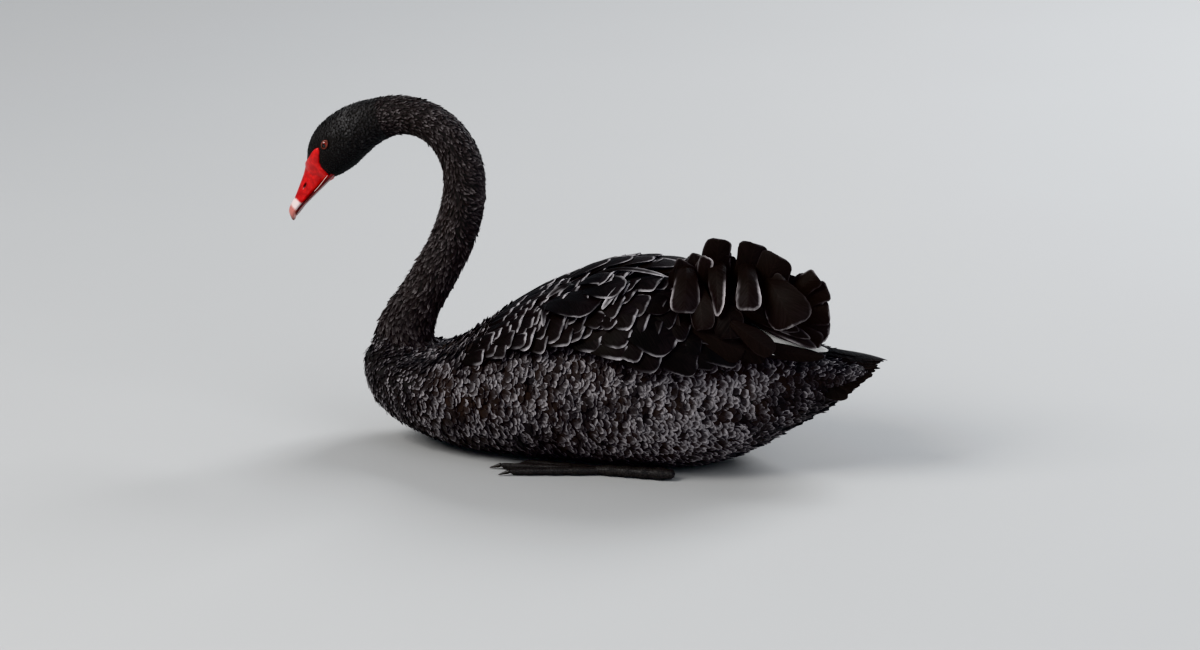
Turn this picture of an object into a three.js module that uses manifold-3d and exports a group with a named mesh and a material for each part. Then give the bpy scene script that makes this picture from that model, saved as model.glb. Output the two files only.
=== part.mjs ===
// A black swan at rest, life size: an adult that sits on its belly with its feet tucked under,
// its neck in an arch with the bill pointing down, and the curled feathers of its folded wings raised.
// Millimetres, +Z up. The bird faces -X and its left side is at -Y. The origin is on the flat of the belly.
import * as THREE from "three";
import { mergeVertices } from "three/addons/utils/BufferGeometryUtils.js";
import Module from "manifold-3d";

const wasm = await Module();
wasm.setup();

// Driving sizes of the whole bird
const GAP = 0.3; // between pieces that touch
const BREAST_X = -287; // foremost point of the breast
const TAIL_ROOT_X = 250; // where the tail leaves the rump
const TAIL_TIP_X = 344;

// Colours of the real bird
const BLACK = { color: 0x141314, roughness: 0.75, metalness: 0 };
const BROWN_BLACK = { color: 0x1d1917, roughness: 0.7, metalness: 0 };
const WHITE = { color: 0xe8e6e1, roughness: 0.7, metalness: 0 };
const RED = { color: 0xc8120f, roughness: 0.35, metalness: 0 };
const BAND_WHITE = { color: 0xeadfdb, roughness: 0.35, metalness: 0 };
const NAIL_PINK = { color: 0xd98078, roughness: 0.4, metalness: 0 };
const EYE_RED = { color: 0x9c1a12, roughness: 0.1, metalness: 0 };
const FOOT_BLACK = { color: 0x1b1a1a, roughness: 0.6, metalness: 0 };

const at = (x, y, z) => new THREE.Vector3(x, y, z);

// A smooth curve through [place, value] pairs, level with its neighbours' slope at each
function smooth(pairs) {
  const slope = pairs.map((p, i) => {
    const a = pairs[Math.max(0, i - 1)];
    const b = pairs[Math.min(pairs.length - 1, i + 1)];
    return (b[1] - a[1]) / (b[0] - a[0]);
  });
  return (place) => {
    const p = Math.min(Math.max(place, pairs[0][0]), pairs.at(-1)[0]);
    let i = 0;
    while (i < pairs.length - 2 && p > pairs[i + 1][0]) i += 1;
    const [x0, y0] = pairs[i];
    const [x1, y1] = pairs[i + 1];
    const span = x1 - x0;
    const s = (p - x0) / span;
    const rise = s * s * (3 - 2 * s);
    const lead = s * (1 - s) * (1 - s) * slope[i] * span;
    const trail = s * s * (s - 1) * slope[i + 1] * span;
    return y0 + (y1 - y0) * rise + lead + trail;
  };
}

// The closed solid of a geometry, turned so that its faces point out
function solid(geometry) {
  const bare = geometry.clone();
  for (const name of ["normal", "uv"]) bare.deleteAttribute(name);
  const merged = mergeVertices(bare, 1e-4);
  const corners = new Uint32Array(merged.index.array);
  const build = () =>
    new wasm.Manifold(
      new wasm.Mesh({ numProp: 3, vertProperties: merged.attributes.position.array, triVerts: corners }),
    );
  let made = build();
  if (made.volume() < 0) {
    for (let i = 0; i < corners.length; i += 3) {
      [corners[i + 1], corners[i + 2]] = [corners[i + 2], corners[i + 1]];
    }
    made = build();
  }
  return made;
}

// The largest closed surface of a solid
function largest(made) {
  return made.decompose().reduce((best, one) => (one.volume() > best.volume() ? one : best));
}

function meshOf(name, made, finish) {
  const whole = largest(made).getMesh();
  const points = new Float32Array(whole.numVert * 3);
  for (let i = 0; i < whole.numVert; i += 1) {
    points.set(whole.vertProperties.subarray(i * whole.numProp, i * whole.numProp + 3), i * 3);
  }
  const geometry = new THREE.BufferGeometry();
  geometry.setAttribute("position", new THREE.BufferAttribute(points, 3));
  geometry.setIndex(new THREE.BufferAttribute(new Uint32Array(whole.triVerts), 1));
  geometry.computeVertexNormals();
  const mesh = new THREE.Mesh(geometry, new THREE.MeshStandardMaterial(finish));
  mesh.name = name;
  return mesh;
}

// A closed skin over rings: place(share, angle, reach) is the point at a share of the length, round the
// ring by angle (0 to the left, a quarter turn up), with reach 0 at the ring's middle and 1 on its rim
function skin(sides, steps, place) {
  const form = new THREE.CylinderGeometry(1, 1, 1, sides, steps);
  const spots = form.attributes.position;
  for (let i = 0; i < spots.count; i += 1) {
    const reach = Math.hypot(spots.getX(i), spots.getZ(i));
    const angle = Math.atan2(spots.getX(i), -spots.getZ(i));
    const p = place(0.5 - spots.getY(i), angle, Math.min(1, reach));
    spots.setXYZ(i, p.x, p.y, p.z);
  }
  return form;
}

const power = (value, exponent) => Math.sign(value) * Math.abs(value) ** exponent;

// Torso: its outline from the side and from above, along X
const BACK = smooth([
  [-287, 111], [-270, 121], [-235, 122], [-200, 118], [-163, 134], [-126, 160], [-89, 181], [-50, 197],
  [0, 208], [50, 212], [100, 206], [150, 193], [200, 175], [250, 155],
]);
const KEEL = smooth([
  [-287, 89], [-280, 60], [-265, 38], [-240, 20], [-200, 5], [-160, -3], [-120, -6], [100, -6], [140, -1],
  [180, 13], [220, 36], [250, 57],
]);
const FLANK = smooth([
  [-287, 14], [-280, 36], [-265, 56], [-240, 75], [-200, 93], [-150, 108], [-100, 118], [-40, 124], [30, 126],
  [90, 121], [140, 110], [190, 91], [225, 73], [250, 60],
]);
const WAIST = smooth([[-287, 100], [-250, 88], [-150, 84], [100, 88], [200, 104], [250, 118]]); // the widest level
const ROUND_TOP = 2 / 2.15;
const ROUND_BELLY = 2 / 2.3;

// A point of the torso's skin, or of a form that stands proud of it
function torsoPoint(x, angle, proud = 0, reach = 1) {
  const up = Math.sin(angle) > 0;
  const waist = WAIST(x);
  const height = up ? BACK(x) - waist : waist - KEEL(x);
  const curve = up ? ROUND_TOP : ROUND_BELLY;
  const y = -(FLANK(x) + proud) * power(Math.cos(angle), curve) * reach;
  const z = waist + (height + proud) * power(Math.sin(angle), curve) * reach;
  return at(x, y, Math.max(z, 0));
}

const TORSO_SIDES = 28;
const TORSO_STEPS = 24;

function torsoSkin(proud, from, to) {
  return skin(TORSO_SIDES, TORSO_STEPS, (share, angle, reach) => {
    const eased = (1 - Math.cos(Math.PI * share)) / 2;
    const x = from + (to - from) * (0.55 * eased + 0.45 * share);
    return torsoPoint(x, angle, proud, reach);
  });
}

// Neck and head: one line through their middle, from inside the breast to the root of the bill, and the
// girth along it, as shares of its length
const SPINE = new THREE.CatmullRomCurve3(
  [
    [-236, 78], [-241, 102], [-240, 124], [-232, 148], [-216, 177], [-199, 207], [-182, 240], [-170, 275],
    [-165, 308], [-169, 339], [-184, 366], [-209, 384], [-240, 390], [-270, 383], [-297, 369], [-321, 348],
    [-337, 327], [-350, 305],
  ].map(([x, z]) => at(x, 0, z)),
  false,
  "centripetal",
);
const SPINE_LENGTH = SPINE.getLength();
const DEPTH = smooth([
  [0, 44], [0.048, 43], [0.11, 37], [0.175, 31.5], [0.28, 29.5], [0.4, 28.5], [0.52, 27], [0.64, 25],
  [0.7, 24.5], [0.775, 27], [0.84, 31.5], [0.9, 33], [0.94, 28], [0.97, 20], [1, 10],
]);
const WIDTH = smooth([
  [0, 44], [0.048, 41], [0.11, 34], [0.175, 29.5], [0.28, 27.5], [0.4, 26.5], [0.52, 25], [0.64, 23.5],
  [0.7, 23], [0.775, 24.5], [0.84, 27.5], [0.9, 27.5], [0.94, 24], [0.97, 17], [1, 9],
]);
const NECK_CUTS = [0.1, 0.27, 0.415, 0.545, 0.67, 0.79]; // where the neck is parted, the last at the nape
const HALF_GAP = GAP / 2 / SPINE_LENGTH;
const NECK_SIDES = 14;

// A point round a line in the bird's middle plane: depth lies in that plane and width across it
function roundLine(line, share, angle, depth, width) {
  const middle = line.getPointAt(share);
  const along = line.getTangentAt(share);
  const back = at(along.z, 0, -along.x);
  return middle.addScaledVector(back, Math.sin(angle) * depth).add(at(0, -Math.cos(angle) * width, 0));
}

function spineStretch(from, to, sides, steps, proud = 0) {
  return skin(sides, steps, (share, angle, reach) => {
    const place = from + (to - from) * share;
    return roundLine(SPINE, place, angle, (DEPTH(place) + proud) * reach, (WIDTH(place) + proud) * reach);
  });
}

// Bill: measured along its own axis from the middle of its root, with rise towards the culmen
const BILL_ROOT = at(-340, 0, 322);
const BILL_ANGLE = THREE.MathUtils.degToRad(57.7); // that it points below level
const BILL_AHEAD = at(-Math.cos(BILL_ANGLE), 0, -Math.sin(BILL_ANGLE));
const BILL_UP = at(BILL_AHEAD.z, 0, -BILL_AHEAD.x);
const BILL_LENGTH = 77;
const CULMEN = smooth([[-12, 20], [6, 18], [20, 13.6], [36, 10.2], [50, 7.6], [60, 7], [70, 4.6], [77, -3]]);
const MOUTH = smooth([[-12, -14], [6, -12.5], [20, -11], [36, -8], [56, -4.8], [70, -5], [77, -7]]);
const CHIN = smooth([[-12, -21], [17, -17.5], [30, -14.5], [56, -8.6], [70, -7]]);
const BILL_WIDTH = smooth([[-12, 15], [6, 15.5], [20, 14], [36, 12.6], [52, 12.4], [62, 11.6], [70, 8.5], [77, 3]]);
const MOUTH_LINE = 0.6; // gap between the two halves of the bill

function billPoint(ahead, side, up) {
  return BILL_ROOT.clone().addScaledVector(BILL_AHEAD, ahead).addScaledVector(BILL_UP, up).add(at(0, side, 0));
}

function upperBill(proud = 0) {
  return skin(16, 12, (share, angle, reach) => {
    const ahead = -12 + (BILL_LENGTH + 12) * (1 - (1 - share) ** 1.5);
    const low = MOUTH(ahead) - proud;
    const high = CULMEN(ahead) + proud;
    const lift = Math.sin(angle) > 0 ? power(Math.sin(angle), 0.95) : 0.25 * Math.sin(angle);
    const middle = low + (high - low) * 0.2;
    const up = middle + (lift > 0 ? (high - middle) * lift : (middle - low) * lift * 4) * reach;
    return billPoint(ahead, -(BILL_WIDTH(ahead) + proud) * power(Math.cos(angle), 0.8) * reach, up);
  });
}

function lowerBill(proud = 0) {
  return skin(12, 7, (share, angle, reach) => {
    const ahead = -4 - proud + (74 + 2 * proud) * share;
    const high = MOUTH(ahead) - MOUTH_LINE + proud;
    const low = CHIN(ahead) - proud;
    const middle = (high + low) / 2;
    const up = middle + ((high - low) / 2) * power(Math.sin(angle), 0.6) * reach;
    const width = Math.max(BILL_WIDTH(ahead) - 1.6, 2) + proud;
    return billPoint(ahead, -width * power(Math.cos(angle), 0.7) * reach, up);
  });
}

// An outline moved outwards by a distance
function grown(outline, by) {
  return outline.map((corner, i) => {
    const before = outline.at(i - 1);
    const after = outline[(i + 1) % outline.length];
    const run = new THREE.Vector2(after[0] - before[0], after[1] - before[1]).normalize();
    return [corner[0] + run.y * by, corner[1] - run.x * by];
  });
}

// A slab across the bird, from an outline in the bill's own plane
function billSlab(outline, halfWidth) {
  const shape = new THREE.Shape(outline.map(([ahead, up]) => new THREE.Vector2(ahead, up)));
  const slab = new THREE.ExtrudeGeometry(shape, { depth: 2 * halfWidth, bevelEnabled: false });
  const spots = slab.attributes.position;
  for (let i = 0; i < spots.count; i += 1) {
    const p = billPoint(spots.getX(i), spots.getZ(i) - halfWidth, spots.getY(i));
    spots.setXYZ(i, p.x, p.y, p.z);
  }
  return slab;
}

// The bare skin of the face reaches back to the eye: its border, from the culmen round to the gape
const FACE_BORDER = [
  [7, 21], [-6, 18.4], [-16, 16.6], [-22, 14.6], [-24.5, 12], [-22, 8.6], [-16, 5.4], [-9, 1.4], [-5.4, -3],
  [-3.6, -8], [-1.6, -12.4], [1.5, -16],
];
const FACE_OUTLINE = [[90, -40], [90, 40], [10, 40], ...FACE_BORDER];
const HEAD_SIDES = 18;
const HEAD_STEPS = 11;
const BAND_FROM = 49; // the pale band, along the bill
const BAND_TO = 60.5;

function block(centre, size) {
  return new THREE.BoxGeometry(size.x, size.y, size.z).translate(centre.x, centre.y, centre.z);
}

function billStretch(from, to) {
  return solid(billSlab([[from, -40], [to, -40], [to, 40], [from, 40]], 60));
}

// Eyes
const EYE_RADIUS = 6.4;
const EYE_AHEAD = -33.4; // in the bill's frame
const EYE_UP = 7;
const EYE_SIDE = 21.6;
const LID_RING = 5.4;
const LID_THICK = 1.5;

function eyeBall(side, proud = 0) {
  const centre = billPoint(EYE_AHEAD, side * EYE_SIDE, EYE_UP);
  return new THREE.SphereGeometry(EYE_RADIUS + proud, 12, 8).translate(centre.x, centre.y, centre.z);
}

function lids(side) {
  const ring = new THREE.TorusGeometry(LID_RING, LID_THICK, 5, 12);
  const spots = ring.attributes.position;
  for (let i = 0; i < spots.count; i += 1) {
    const ahead = spots.getX(i) * 1.18;
    const up = spots.getY(i) * 0.86;
    const out = EYE_SIDE + 3.9 + spots.getZ(i) - 0.012 * ahead * ahead;
    const p = billPoint(EYE_AHEAD + ahead, side * out, EYE_UP + up);
    spots.setXYZ(i, p.x, p.y, p.z);
  }
  return ring;
}

function headAndBill() {
  const skull = spineStretch(NECK_CUTS.at(-1) + HALF_GAP, 1, HEAD_SIDES, HEAD_STEPS);
  const whole = solid(skull).add(solid(upperBill()));
  const face = solid(billSlab(FACE_OUTLINE, 40));
  const faceWithGap = solid(billSlab(grown(FACE_OUTLINE, GAP), 40));
  let head = whole.subtract(faceWithGap).subtract(solid(lowerBill(GAP)));
  for (const side of [-1, 1]) {
    head = head.add(solid(lids(side))).subtract(solid(eyeBall(side, GAP)));
  }
  const upper = whole.intersect(face).subtract(solid(lowerBill(GAP)));
  const nostrils = [-1, 1].map((side) => {
    const centre = billPoint(29, side * 12.5, 3.2);
    const slot = new THREE.SphereGeometry(1, 10, 8).scale(3.8, 5, 1.5);
    slot.rotateY(-BILL_ANGLE);
    return solid(slot.translate(centre.x, centre.y, centre.z));
  });
  const horn = upper.subtract(billStretch(BAND_FROM - GAP / 2, 90));
  return {
    head,
    bill_upper: horn.subtract(nostrils[0]).subtract(nostrils[1]),
    bill_band: upper.intersect(billStretch(BAND_FROM + GAP / 2, BAND_TO - GAP / 2)),
    bill_nail: upper.intersect(billStretch(BAND_TO + GAP / 2, 90)),
    bill_lower: solid(lowerBill()),
  };
}

// Wings, made on the left side: a pad that lies on the back and flank, cut to the folded wing's lower edge
const PAD_SIDES = 18;
const PAD_STEPS = 10;
const WING_FROM = -150;
const WING_TO = 232;
const WING_PROUD = smooth([[-150, 0], [-110, 4], [-40, 10], [20, 17], [80, 19], [130, 16], [190, 11], [232, 3]]);
const WING_EDGE = smooth([
  [-148, 120], [-100, 146], [-40, 161], [20, 161], [80, 154], [140, 150], [185, 153], [215, 160], [262, 168],
]);

const EDGE_STEPS = 12;

// A slab across the left side above the lower edge
function wingSlab() {
  const shape = new THREE.Shape([new THREE.Vector2(WING_TO + 5, 400), new THREE.Vector2(WING_FROM - 5, 400)]);
  for (let i = 0; i <= EDGE_STEPS; i += 1) {
    const x = WING_FROM + ((WING_TO - WING_FROM) * i) / EDGE_STEPS;
    shape.lineTo(x, WING_EDGE(x));
  }
  const slab = new THREE.ExtrudeGeometry(shape, { depth: 200, bevelEnabled: false });
  return slab.rotateX(Math.PI / 2).translate(0, -GAP, 0);
}

function wingPad() {
  const cover = skin(PAD_SIDES, PAD_STEPS, (share, angle, reach) => {
    const x = WING_FROM + (WING_TO - WING_FROM) * share;
    return torsoPoint(x, angle, WING_PROUD(x), reach);
  });
  return solid(cover).intersect(solid(wingSlab()));
}

// A seeded source of numbers between -1 and 1, so that feathers vary in the same way each time
function chance(seed) {
  let state = seed;
  return () => {
    state = (state * 1664525 + 1013904223) % 4294967296;
    return (state / 4294967296) * 2 - 1;
  };
}

// Feathers: each is a thin vane with a ridge for its shaft and a flat underside. Its outline is a share of its
// width along its length, and its rows of corners lie closer towards the tip.
const ROUND_TIP = smooth([[0, 0.4], [0.35, 0.86], [0.65, 1], [0.88, 0.8], [1, 0.32]]);
const BLUNT_TIP = smooth([[0, 0.34], [0.4, 0.8], [0.78, 1], [0.93, 0.94], [1, 0.62]]);
const LONG_TIP = smooth([[0, 0.6], [0.3, 0.95], [0.6, 1], [0.85, 0.78], [1, 0.25]]);
const VANE_THICK = 1.7; // at the ridge, near the root
const TIP_THIN = 0.55; // share of the thickness lost towards the tip
const TIP_CROWDING = 1.5;
const THIRD = Math.PI / 3;

function vane(line, side, width, outline, rows = 4) {
  return skin(3, rows, (share, angle, reach) => {
    const t = 1 - (1 - share) ** TIP_CROWDING;
    const up = side.clone().cross(line.getTangent(t)).normalize();
    const thick = VANE_THICK * (1 - TIP_THIN * t);
    const across = ((Math.sin(angle) / Math.sin(THIRD)) * width * outline(t) * reach) / 2;
    const rise = thick * (((0.5 - Math.cos(angle)) / 1.5) * reach + (1 - reach) / 3);
    return line.getPoint(t).addScaledVector(side, across).addScaledVector(up, rise);
  });
}

// A vane from a root to a tip: facing is the way that its upper side looks, bow is how far its middle stands
// out that way, and roll tips one long edge up, so that neighbours overlap as shingles do
function bentVane({ root, tip, facing, bow = 0, roll = 0, width, outline = BLUNT_TIP, rows = 4 }) {
  const ahead = tip.clone().sub(root).normalize();
  const up = facing.clone().addScaledVector(ahead, -facing.dot(ahead)).normalize();
  const side = ahead.clone().cross(up).applyAxisAngle(ahead, THREE.MathUtils.degToRad(roll));
  const middle = root.clone().lerp(tip, 0.5).addScaledVector(up, 2 * bow);
  return vane(new THREE.QuadraticBezierCurve3(root, middle, tip), side, width, outline, rows);
}

// Wings are made on the left. What differs between the two: the near one's curled feathers are raised higher.
const SIDES = {
  left: { seed: 11, raise: 1, crestShift: at(0, 0, 0), flightTip: at(278, -24, 154) },
  right: { seed: 47, raise: 0.55, crestShift: at(-52, 4, -34), flightTip: at(256, -16, 160) },
};
const PAD_TOP = THREE.MathUtils.degToRad(86); // how far up the back the tiers reach
const VANE_SINK = 3; // how deep a root goes into the pad
const SHINGLE = 7; // degrees of roll

// Tiers of the folded wing from the shoulder back: the lie of each, with lift and curl in degrees
const TIERS = [
  { x: -116, above: 0, count: 4, length: 48, width: 32, lift: 5, curl: 0 },
  { x: -78, above: 0, count: 5, length: 52, width: 34, lift: 6, curl: 0 },
  { x: -38, above: 0, count: 5, length: 58, width: 38, lift: 7, curl: 0 },
  { x: 4, above: 0, count: 5, length: 64, width: 41, lift: 8, curl: 0 },
  { x: 50, above: 0, count: 5, length: 68, width: 43, lift: 10, curl: 6 },
  { x: 94, above: 0, count: 4, length: 74, width: 48, lift: 13, curl: 12 },
  { x: 134, above: 0.16, count: 4, length: 80, width: 48, lift: 15, curl: 14 },
  { x: 172, above: 0.42, count: 3, length: 82, width: 46, lift: 12, curl: 12 },
];

// Long curled feathers that stand up behind the back, and those that hang over the rump
const CREST = [
  { root: at(104, -56, 212), tip: at(165, -46, 271), width: 40, bow: -5 },
  { root: at(126, -48, 208), tip: at(205, -54, 270), width: 50, bow: 7 },
  { root: at(146, -60, 202), tip: at(231, -60, 256), width: 52, bow: 9 },
  { root: at(158, -66, 194), tip: at(254, -74, 228), width: 48, bow: 8 },
  { root: at(196, -48, 182), tip: at(277, -48, 232), width: 34, bow: 6 },
  { root: at(176, -44, 182), tip: at(280, -34, 192), width: 40, bow: 9 },
  { root: at(122, -78, 194), tip: at(180, -96, 234), width: 44, bow: 8 },
  { root: at(144, -80, 188), tip: at(214, -97, 229), width: 48, bow: 9 },
  { root: at(160, -78, 182), tip: at(256, -88, 208), width: 48, bow: 8 },
  { root: at(130, -86, 194), tip: at(272, -70, 182), width: 32, bow: 7 },
  { root: at(104, -100, 164), tip: at(196, -100, 158), width: 36, bow: 6 },
];

function padPoint(x, angle, rise = 0) {
  return torsoPoint(x, angle, WING_PROUD(x) + rise);
}

// The angle round the torso at which the folded wing's lower edge lies
function edgeAngle(x) {
  const waist = WAIST(x);
  const level = (WING_EDGE(x) - waist) / (BACK(x) + WING_PROUD(x) - waist);
  return Math.asin(level ** (1 / ROUND_TOP));
}

// A vane that lies along the pad from its root, and rises off it by its lift, then by its curl
function lyingVane({ x, angle, length, width, lift, curl, roll }) {
  const slope = Math.tan(THREE.MathUtils.degToRad(lift));
  const kick = Math.tan(THREE.MathUtils.degToRad(curl));
  const points = [0, 0.35, 0.7, 1].map((t) =>
    padPoint(x + length * t, angle, length * (t * slope + t ** 3 * kick) - VANE_SINK),
  );
  const ahead = points.at(-1).clone().sub(points[0]).normalize();
  const round = padPoint(x, angle - 0.02).sub(padPoint(x, angle + 0.02));
  const side = round.addScaledVector(ahead, -round.dot(ahead)).normalize();
  side.applyAxisAngle(ahead, THREE.MathUtils.degToRad(roll));
  return vane(new THREE.CatmullRomCurve3(points), side, width, curl > 5 ? BLUNT_TIP : ROUND_TIP, 3);
}

function wingVanes({ seed, raise, crestShift }) {
  const vary = chance(seed);
  const vanes = [];
  TIERS.forEach((tier, row) => {
    const low = edgeAngle(tier.x);
    for (let i = 0; i < tier.count; i += 1) {
      const step = (i + 0.42 + 0.2 * (row % 2) + 0.08 * vary()) / tier.count;
      const share = tier.above + (1 - tier.above) * step;
      vanes.push(
        lyingVane({
          x: tier.x + 7 * vary() - 10 * share,
          angle: low + (PAD_TOP - low) * share,
          length: tier.length * (1 + 0.08 * vary()),
          width: tier.width * (1 + 0.08 * vary()),
          lift: tier.lift * (1 + 0.3 * vary()),
          curl: tier.curl * raise * (1 + 0.5 * vary()),
          roll: SHINGLE + 2 * vary(),
        }),
      );
    }
  });
  for (const one of CREST) {
    const root = one.root.clone();
    const reach = one.tip.clone().add(crestShift).sub(root);
    reach.z *= raise;
    const tip = root.clone().add(reach);
    vanes.push(bentVane({ ...one, root, tip, facing: at(0, -1, 0.25), roll: 5 * vary() }));
  }
  return vanes.map(solid);
}

// The white flight feathers, folded under the raised ones and over the rump
const FLIGHT_ROOT = at(146, -84, 183);
const FLIGHT_TILT = 0.75; // radians that they slope down to the side
const FLIGHT_COUNT = 6;
const FLIGHT_ROOM = 2.2; // how far the wing keeps off the smooth cover round them

function flightCover({ flightTip }, proud) {
  return skin(12, 6, (share, angle, reach) => {
    const middle = FLIGHT_ROOT.clone().lerp(flightTip, share);
    const across = Math.cos(angle) * (20 - 12 * share * share + proud) * reach;
    const up = Math.sin(angle) * (7 - 4.5 * share + proud) * reach;
    const y = -across * Math.cos(FLIGHT_TILT) - up * Math.sin(FLIGHT_TILT);
    return middle.add(at(0, y, -across * Math.sin(FLIGHT_TILT) + up * Math.cos(FLIGHT_TILT)));
  });
}

// Flight feathers lie side by side and over one another within that cover, each shorter than the one above it
function flightVanes({ flightTip }) {
  const across = at(0, -Math.cos(FLIGHT_TILT), -Math.sin(FLIGHT_TILT));
  const facing = at(0, -Math.sin(FLIGHT_TILT), Math.cos(FLIGHT_TILT));
  return Array.from({ length: FLIGHT_COUNT }, (_, i) => {
    const share = i / (FLIGHT_COUNT - 1);
    const root = FLIGHT_ROOT.clone().addScaledVector(across, 14 * (share - 0.5));
    root.addScaledVector(facing, 1.5 - 3 * share);
    const tip = FLIGHT_ROOT.clone().lerp(flightTip, 1 - 0.3 * share);
    tip.addScaledVector(across, 2 + 9 * share).addScaledVector(facing, 1 - 3.5 * share);
    root.lerp(tip, 0.02); // clear of the end of the space that the wing leaves
    return solid(bentVane({ root, tip, facing, bow: 1, width: 17, outline: LONG_TIP, rows: 3 }));
  });
}

// Tail: a wedge that goes on from the rump, under a fan of feathers that droops to each side
const TAIL_TOP = smooth([[250, 153], [285, 144], [320, 138], [334, 136]]);
const TAIL_UNDER = smooth([[250, 57], [285, 80], [320, 114], [334, 131]]);
const TAIL_WIDE = smooth([[250, 60], [285, 48], [320, 34], [334, 14]]);
const TAIL_CORE_TO = 334;
const TAIL_HALF_COUNT = 5; // feathers to each side of the middle one

function tailCore(proud = 0) {
  return skin(22, 9, (share, angle, reach) => {
    const x = TAIL_ROOT_X + GAP / 2 - proud + (TAIL_CORE_TO - TAIL_ROOT_X - GAP / 2 + 2 * proud) * share;
    const waist = TAIL_UNDER(x) + (TAIL_TOP(x) - TAIL_UNDER(x)) * 0.58;
    const up = Math.sin(angle) > 0;
    const height = (up ? TAIL_TOP(x) - waist : waist - TAIL_UNDER(x)) + proud;
    const y = -(TAIL_WIDE(x) + proud) * power(Math.cos(angle), ROUND_TOP) * reach;
    return at(x, y, waist + height * power(Math.sin(angle), ROUND_TOP) * reach);
  });
}

function tailVanes() {
  const vary = chance(5);
  const vanes = [];
  for (let i = -TAIL_HALF_COUNT; i <= TAIL_HALF_COUNT; i += 1) {
    const out = i / TAIL_HALF_COUNT;
    const fall = Math.abs(out) ** 1.4;
    const root = at(262 + 4 * fall, 34 * out, 146 - 26 * fall);
    const tip = at(TAIL_TIP_X - 1 - 30 * fall + 2 * vary(), 46 * out, 139 - 36 * fall);
    const facing = at(0, out, 1);
    const roll = 5 * Math.sign(out);
    vanes.push(solid(bentVane({ root, tip, facing, roll, bow: 1.5, width: 21, outline: LONG_TIP, rows: 3 })));
  }
  return vanes;
}

// Legs: the shank lies along the ground beside the belly, and the webbed foot goes on ahead of it
const HEEL = at(118, -92, 7);
const TOE_ROOT = at(24, -94, 6);
const SHANK_RADIUS = 7;
const TOE_TIPS = [at(-64, -80, 5), at(-92, -104, 5), at(-74, -127, 5)];
const TOE_RADIUS = 5.2;
const WEB_THICK = 2;
const CLAW_LENGTH = 11;

// A limb between two points, tapered, with its underside flat on the ground
function limb(from, to, startRadius, endRadius, sides = 8, steps = 3) {
  const run = to.clone().sub(from);
  const side = at(run.y, -run.x, 0).normalize();
  return skin(sides, steps, (share, angle, reach) => {
    const round = Math.min(1, Math.sqrt(Math.max(0, 1 - (2 * share - 1) ** 8)) + 0.35);
    const radius = (startRadius + (endRadius - startRadius) * share) * round * reach;
    const p = from.clone().addScaledVector(run, share).addScaledVector(side, Math.cos(angle) * radius);
    p.z = Math.max(0, p.z + Math.sin(angle) * radius);
    return p;
  });
}

function leftLeg() {
  const thigh = new THREE.SphereGeometry(1, 14, 8).scale(48, 26, 30).rotateY(-0.35).translate(96, -86, 42);
  return solid(thigh).subtract(solid(block(at(96, -86, -30), at(300, 300, 60)))).add(
    solid(limb(HEEL, TOE_ROOT, SHANK_RADIUS + 2, SHANK_RADIUS)),
  );
}

function leftFoot() {
  const web = new THREE.Shape();
  web.moveTo(TOE_ROOT.x, TOE_ROOT.y);
  web.lineTo(TOE_TIPS[0].x, TOE_TIPS[0].y);
  web.quadraticCurveTo(-70, -92, TOE_TIPS[1].x, TOE_TIPS[1].y);
  web.quadraticCurveTo(-76, -116, TOE_TIPS[2].x, TOE_TIPS[2].y);
  web.lineTo(TOE_ROOT.x, TOE_ROOT.y);
  let foot = solid(new THREE.ExtrudeGeometry(web, { depth: WEB_THICK, bevelEnabled: false, curveSegments: 4 }));
  for (const tip of TOE_TIPS) {
    const ahead = tip.clone().sub(TOE_ROOT).setZ(0).normalize();
    const claw = tip.clone().addScaledVector(ahead, CLAW_LENGTH).setZ(1.4);
    foot = foot.add(solid(limb(TOE_ROOT, tip, TOE_RADIUS + 1, TOE_RADIUS - 1.4)));
    foot = foot.add(solid(limb(tip.clone().addScaledVector(ahead, -3), claw, 3.1, 0.9, 6, 2)));
  }
  return foot;
}

const mirrored = (made) => made.mirror([0, 1, 0]);

// Everything together
const swan = new THREE.Group();
const put = (name, made, finish) => swan.add(meshOf(name, made, finish));

const torsoProud = solid(torsoSkin(GAP, BREAST_X, TAIL_ROOT_X + 1));
const neckRoot = solid(spineStretch(0, NECK_CUTS[0] - HALF_GAP, NECK_SIDES, 6));
const leg = leftLeg();
const legSpace = solid(limb(HEEL, TOE_ROOT, SHANK_RADIUS + 3, SHANK_RADIUS + 1));
const foot = leftFoot().subtract(legSpace);
const legPiece = leg.subtract(torsoProud);

let torso = solid(torsoSkin(0, BREAST_X, TAIL_ROOT_X - GAP / 2)).add(neckRoot);
torso = torso.subtract(solid(spineStretch(NECK_CUTS[0], NECK_CUTS[1], NECK_SIDES, 8, GAP)));
put("torso", torso, BLACK);

const NECK_NAMES = ["neck_base", "neck_lower", "neck_middle", "neck_upper", "neck_nape"];
NECK_NAMES.forEach((name, i) => {
  const piece = spineStretch(NECK_CUTS[i] + HALF_GAP, NECK_CUTS[i + 1] - HALF_GAP, NECK_SIDES, 5);
  put(name, solid(piece), BLACK);
});

const face = headAndBill();
put("head", face.head, BLACK);
put("bill_upper", face.bill_upper, RED);
put("bill_band", face.bill_band, BAND_WHITE);
put("bill_nail", face.bill_nail, NAIL_PINK);
put("bill_lower", face.bill_lower, RED);

const join = (pieces) => pieces.reduce((whole, one) => whole.add(one));
const tailFan = tailVanes();
const aheadOfTail = solid(block(at(TAIL_ROOT_X - 150, 0, 200), at(300, 300, 400)));
put("tail", join([solid(tailCore()), ...tailFan]).subtract(aheadOfTail), BROWN_BLACK);

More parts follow.
